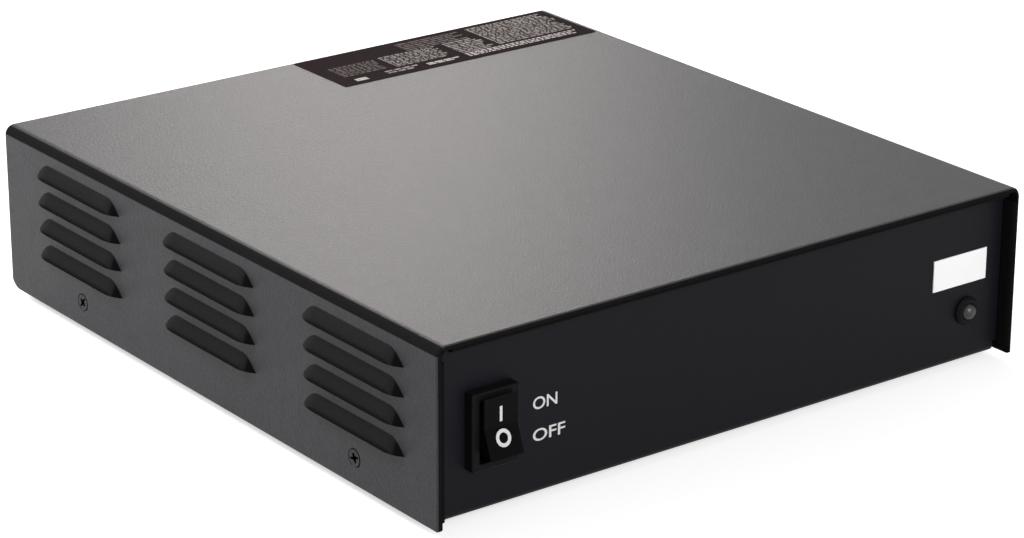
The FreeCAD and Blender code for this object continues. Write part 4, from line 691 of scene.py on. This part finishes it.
def facing_front(x: float, y: float, z: float, tilt: float = 0.0) -> Matrix:
    """Places the XY plane upright, facing the front.

    Args:
        x: the middle's x.
        y: the plane's y.
        z: the middle's z.
        tilt: how far the plane leans back, in degrees.

    Returns:
        The matrix that lays a flat mark there.
    """
    return Matrix.Translation((x, y, z)) @ Matrix.Rotation(math.radians(90 - tilt), 4, "X")


@dataclass
class FrontMarks:
    """The printed words beside the switch and the two marks on the rocker.

    The valley is where the rocker's two halves meet, and a mark's middle is measured from it.
    """

    bench: Workbench
    finish: str = "white_print"
    thickness: float = 0.05
    words_left: float = -67.15
    words: tuple[tuple[str, float, float], ...] = (("ON", 27.8, 7.8), ("OFF", 18.95, 10.4))
    letter_height: float = 3.4
    letter_weight: float = 0.01
    letter_steps: int = 6
    letter_merge: float = 1e-6
    valley: float = 8.0
    half_swing: float = 10.0
    bar_middle: float = 3.3
    bar_size: tuple[float, float] = (0.8, 4.1)
    ring_middle: float = 3.15
    ring_size: tuple[float, float] = (2.3, 2.35)
    ring_stroke: float = 0.95
    ring_segments: int = 40

    def build(self, joints: Iterable[dict[str, Any]]) -> None:
        """Makes the words and the marks.

        Args:
            joints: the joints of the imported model, for the rocker's pivot.
        """
        panel = span("chassis")[0].y
        for text, middle, width in self.words:
            self._word(text, facing_front(self.words_left, panel, middle), width)
        pivot = next(Vector(joint["pos_m"]) / MM for joint in joints
                     if joint["child"] == Body.ROCKER.value)
        turn = math.radians(self.half_swing)
        valley = pivot + self.valley * Vector((0, -math.cos(turn), math.sin(turn)))
        self._bar(valley)
        self._ring(valley)

    def _finish(self, name: str, mesh: Mesh, place: Matrix, body: Body) -> None:
        """Makes a printed piece of flat faces.

        Args:
            name: the piece's name.
            mesh: the flat faces at z = 0.
            place: where they go.
            body: the body that the piece rides on.
        """
        thicken(mesh, self.thickness)
        bmesh.ops.transform(mesh, matrix=place, verts=mesh.verts)
        self.bench.piece(name, mesh, self.finish, body)

    def _word(self, text: str, place: Matrix, width: float) -> None:
        """Prints one word on the front wall.

        Args:
            text: the word.
            place: where the middle of the word's left side goes.
            width: how wide the word is.
        """
        curve = bpy.data.curves.new(text.lower() + "_letters", "FONT")
        curve.body = text
        curve.size = 1.0
        curve.resolution_u = self.letter_steps
        curve.offset = self.letter_weight
        holder = bpy.data.objects.new("letters", curve)
        bpy.context.scene.collection.objects.link(holder)
        flat = bpy.data.meshes.new_from_object(holder)
        mesh = bmesh.new()
        mesh.from_mesh(flat)
        bpy.data.objects.remove(holder)
        bpy.data.meshes.remove(flat)
        bmesh.ops.remove_doubles(mesh, verts=mesh.verts, dist=self.letter_merge)
        low_x, high_x = (f(v.co.x for v in mesh.verts) for f in (min, max))
        low_y, high_y = (f(v.co.y for v in mesh.verts) for f in (min, max))
        bmesh.ops.translate(mesh, vec=(-low_x, -(low_y + high_y) / 2, 0), verts=mesh.verts)
        stretch = (width / (high_x - low_x), self.letter_height / (high_y - low_y), 1.0)
        bmesh.ops.scale(mesh, vec=stretch, verts=mesh.verts)
        self._finish("printed_word_" + text.lower(), mesh, place, Body.CASE)

    def _bar(self, valley: Vector) -> None:
        """Prints the upright bar on the rocker's pressed half.

        Args:
            valley: the middle of the rocker's valley.
        """
        mesh = bmesh.new()
        flat_bar(mesh, *self.bar_size)
        place = facing_front(valley.x, valley.y, valley.z + self.bar_middle)
        self._finish("rocker_mark_on", mesh, place, Body.ROCKER)

    def _ring(self, valley: Vector) -> None:
        """Prints the ring on the rocker's raised half.

        Args:
            valley: the middle of the rocker's valley.
        """
        mesh = bmesh.new()
        bmesh.ops.create_circle(mesh, segments=self.ring_segments, radius=1.0, cap_ends=True)
        bmesh.ops.scale(mesh, vec=(*self.ring_size, 1.0), verts=mesh.verts)
        ring = bmesh.ops.inset_region(mesh, faces=list(mesh.faces), thickness=self.ring_stroke,
                                      use_boundary=True, use_even_offset=True)["faces"]
        middle = [face for face in mesh.faces if face not in ring]
        bmesh.ops.delete(mesh, geom=middle, context="FACES")
        lean = math.radians(2 * self.half_swing)
        place = facing_front(valley.x, valley.y - self.ring_middle * math.sin(lean),
                             valley.z - self.ring_middle * math.cos(lean), 2 * self.half_swing)
        self._finish("rocker_mark_off", mesh, place, Body.ROCKER)


@dataclass(frozen=True)
class TextBlock:
    """A block of plain bars on the label, measured from its front left corner."""

    left: float
    right: float
    front: float
    rear: float
    pitch: float
    height: float
    words: tuple[float, float]
    finish: str = "grey_print"


@dataclass
class LabelPrint:
    """Plain bars on the label, in the rows and blocks of a technical label."""

    bench: Workbench
    blocks: tuple[TextBlock, ...] = (
        TextBlock(5.0, 22.0, 7.5, 17.0, 1.25, 0.65, (0.7, 2.4), "dim_print"),
        TextBlock(24.0, 46.0, 7.0, 17.5, 1.25, 0.65, (0.7, 3.0)),
        TextBlock(36.0, 60.0, 19.0, 25.5, 1.6, 0.85, (1.5, 5.0), "dim_print"),
        TextBlock(48.5, 62.0, 7.0, 17.5, 1.5, 0.8, (1.5, 4.5)),
        TextBlock(63.5, 94.5, 7.0, 26.0, 1.3, 0.75, (0.7, 2.8)),
        TextBlock(6.0, 12.0, 2.6, 4.0, 1.2, 1.0, (4.2, 4.8), "pale_print"),
        TextBlock(18.0, 30.0, 3.0, 5.0, 1.6, 0.9, (1.0, 3.6)),
        TextBlock(33.0, 45.5, 3.0, 4.2, 1.1, 0.8, (2.4, 3.2), "pale_print"),
        TextBlock(48.5, 94.5, 2.2, 5.4, 1.25, 0.75, (0.7, 2.2), "pale_print"),
    )
    gap: float = 0.55
    ragged: float = 0.12
    thickness: float = 0.03
    seed: int = 7

    def build(self) -> None:
        """Lays out the blocks and makes one piece of each print."""
        low, high = span("rating_label")
        draw = random.Random(self.seed)
        meshes = {block.finish: bmesh.new() for block in self.blocks}
        for block in self.blocks:
            self._fill(meshes[block.finish], block, Vector((low.x, low.y, 0.0)), draw)
        for finish, mesh in meshes.items():
            thicken(mesh, self.thickness)
            bmesh.ops.translate(mesh, vec=(0, 0, high.z), verts=mesh.verts)
            self.bench.piece("label_bars_" + finish, mesh, finish, Body.CASE)

    def _fill(self, mesh: Mesh, block: TextBlock, corner: Vector, draw: random.Random) -> None:
        """Fills a block with rows of bars of uneven lengths.

        Args:
            mesh: the mesh that the bars become part of.
            block: where the rows run and how long their bars are.
            corner: the label's front left corner.
            draw: the source of the lengths.
        """
        y = block.rear
        while y >= block.front:
            x = block.left
            end = block.right - draw.uniform(0.0, self.ragged) * (block.right - block.left)
            while x < end:
                length = draw.uniform(*block.words)
                if x + length <= block.right:
                    place = corner + Vector((x, y, 0)) + Vector((length / 2, 0, 0))
                    bar = flat_bar(mesh, length, block.height)
                    bmesh.ops.translate(mesh, vec=place, verts=bar)
                x += length + self.gap
            y -= block.pitch


@dataclass
class LampCore:
    """The cup and the two posts that show through the clear lamp, drawn from its rear end."""

    bench: Workbench
    post: float = 0.5
    post_lengths: tuple[float, float] = (3.6, 4.6)
    post_gap: float = 1.27
    cup_foot: float = 0.35
    cup_radius: float = 0.9
    cup_depth: float = 1.4
    cup_middle: float = 4.2
    segments: int = 20

    def build(self) -> None:
        """Makes the cup on its post and the second post."""
        low, high = span("indicator_lamp")
        mesh = bmesh.new()
        cup = bmesh.ops.create_cone(mesh, cap_ends=True, segments=self.segments,
                                    radius1=self.cup_foot, radius2=self.cup_radius,
                                    depth=self.cup_depth)["verts"]
        bmesh.ops.translate(mesh, vec=(-self.post_gap / 2, 0, self.cup_middle), verts=cup)
        for side, length in zip((-1, 1), self.post_lengths):
            post = bmesh.ops.create_cube(mesh, size=1.0)["verts"]
            bmesh.ops.scale(mesh, vec=(self.post, self.post, length), verts=post)
            bmesh.ops.translate(mesh, vec=(side * self.post_gap / 2, 0, length / 2), verts=post)
        place = facing_front((low.x + high.x) / 2, high.y, (low.z + high.z) / 2)
        bmesh.ops.transform(mesh, matrix=place, verts=mesh.verts)
        self.bench.piece("lamp_cup", mesh, "zinc_plating", Body.CASE)


@dataclass(frozen=True)
class Lamp:
    """One area lamp of the studio."""

    name: str
    place: Point
    size: tuple[float, float]
    watts: float
    color: Color = (1.0, 1.0, 1.0)
    target: Point = (0.0, 0.0, 0.04)

    def build(self) -> None:
        """Hangs the lamp and turns it to its target."""
        data = bpy.data.lights.new(self.name, "AREA")
        data.shape = "RECTANGLE"
        data.size, data.size_y = self.size
        data.energy = self.watts
        data.color = self.color
        holder = bpy.data.objects.new(self.name, data)
        holder.location = self.place
        holder.visible_camera = False
        aim = Vector(self.target) - Vector(self.place)
        holder.rotation_euler = aim.to_track_quat("-Z", "Y").to_euler()
        bpy.context.scene.collection.objects.link(holder)


@dataclass
class Studio:
    """The pale floor, the soft light and the camera at the photograph's angle.

    The floor glows white to the eye, from the first glow at the near end of its reach to the
    second at the far end, so that the charger's shadow stays and no far edge shows.
    """

    camera_place: Point = (-0.560093, -0.744692, 0.373059)
    camera_turn: Point = (69.1549, -0.13185, -37.04637)
    lens: float = 121.784
    sensor: float = 36.0
    clip: tuple[float, float] = (0.05, 30.0)
    floor_half: float = 6.0
    floor_color: Color = (0.8, 0.8, 0.8)
    floor_roughness: float = 0.9
    glow_reach: tuple[float, float] = (0.35, 1.1)
    glow: tuple[float, float] = (0.6, 0.8)
    world_light: float = 0.35
    lamps: tuple[Lamp, ...] = (
        Lamp("key_lamp", (-0.47, 0.5, 0.7), (0.5, 0.5), 6.8, (0.97, 0.98, 1.0)),
        Lamp("sheen_lamp", (0.298, 0.5, 0.445), (0.25, 0.6), 2.55, (1.0, 0.94, 0.9)),
        Lamp("front_fill", (-0.2, -1.2, 0.6), (0.8, 0.5), 9.0),
    )

    def build(self) -> None:
        """Makes the camera, the lamps, the world and the floor."""
        self._camera()
        for lamp in self.lamps:
            lamp.build()
        self._world()
        self._floor()
        bpy.context.scene.view_settings.view_transform = "Standard"

    def _camera(self) -> None:
        """Puts the camera where the photograph was taken from."""
        data = bpy.data.cameras.new("photo_camera")
        data.sensor_width = self.sensor
        data.lens = self.lens
        data.clip_start, data.clip_end = self.clip
        camera = bpy.data.objects.new("photo_camera", data)
        camera.location = self.camera_place
        camera.rotation_euler = [math.radians(angle) for angle in self.camera_turn]
        bpy.context.scene.collection.objects.link(camera)
        bpy.context.scene.camera = camera

    def _seen(self, nodes: NodeKit) -> Socket:
        """Tells the rays that the eye follows from those that only carry light.

        Args:
            nodes: the tree that the nodes go into.

        Returns:
            One for camera, glossy and transmission rays, and zero for the rest.
        """
        rays = nodes.add("ShaderNodeLightPath").outputs
        return nodes.most(*(rays[f"Is {kind} Ray"]
                            for kind in ("Camera", "Glossy", "Transmission")))

    def _world(self) -> None:
        """Makes a world that looks white and lights the charger softly."""
        world = bpy.data.worlds.new("studio_world")
        world.use_nodes = True
        nodes = NodeKit(world.node_tree)
        strength = nodes.ramp(self._seen(nodes), 0.0, 1.0, self.world_light, 1.0)
        background = world.node_tree.nodes["Background"]
        nodes.feed(background, {"Color": WHITE, "Strength": strength})
        bpy.context.scene.world = world

    def _floor(self) -> None:
        """Makes the floor."""
        mesh = bmesh.new()
        bmesh.ops.create_grid(mesh, x_segments=1, y_segments=1, size=self.floor_half)
        data = bpy.data.meshes.new("studio_floor")
        mesh.to_mesh(data)
        mesh.free()
        data.materials.append(self._floor_material())
        floor = bpy.data.objects.new("studio_floor", data)
        bpy.context.scene.collection.objects.link(floor)

    def _floor_material(self) -> bpy.types.Material:
        """Makes the floor's material: white to look at, with the charger's soft shadow.

        Returns:
            The material.
        """
        material = bpy.data.materials.new("studio_floor")
        material.use_nodes = True
        nodes = NodeKit(material.node_tree)
        place = nodes.add("ShaderNodeTexCoord").outputs["Object"]
        distance = nodes.add("ShaderNodeVectorMath", {0: place}, operation="LENGTH")
        glow = nodes.ramp(distance.outputs["Value"], *self.glow_reach, *self.glow)
        nodes.feed(material.node_tree.nodes["Principled BSDF"], {
            "Base Color": (*self.floor_color, 1.0), "Roughness": self.floor_roughness,
            "Specular IOR Level": 0.0, "Emission Color": WHITE,
            "Emission Strength": nodes.math("MULTIPLY", self._seen(nodes), glow)})
        return material


def dress_solids(shop: FinishShop, frame: dict[str, Any]) -> None:
    """Gives every solid the finish of its slot in the record, or one of its own.

    Args:
        shop: the finishes.
    """
    slots = {part["node"]: part["material_slot"] for part in frame["record"]["subparts"]}
    for name, solid in frame["nodes"].items():
        finish = OWN_FINISHES.get(name, shop.finish_for[slots[name]])
        shop.dress(solid, finish)
        LOG.info("%s: %s", name, finish)


def main() -> None:
    """Loads the solids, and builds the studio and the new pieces."""
    logging.basicConfig(level=logging.INFO, format="%(name)s: %(message)s")
    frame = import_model()
    Studio().build()
    shop = FinishShop(FINISHES)
    bench = Workbench(shop)
    dress_solids(shop, frame)
    Fasteners(bench).build()
    FrontMarks(bench).build(frame["joints"])
    LabelPrint(bench).build()
    LampCore(bench).build()


if __name__ == "__main__":
    main()
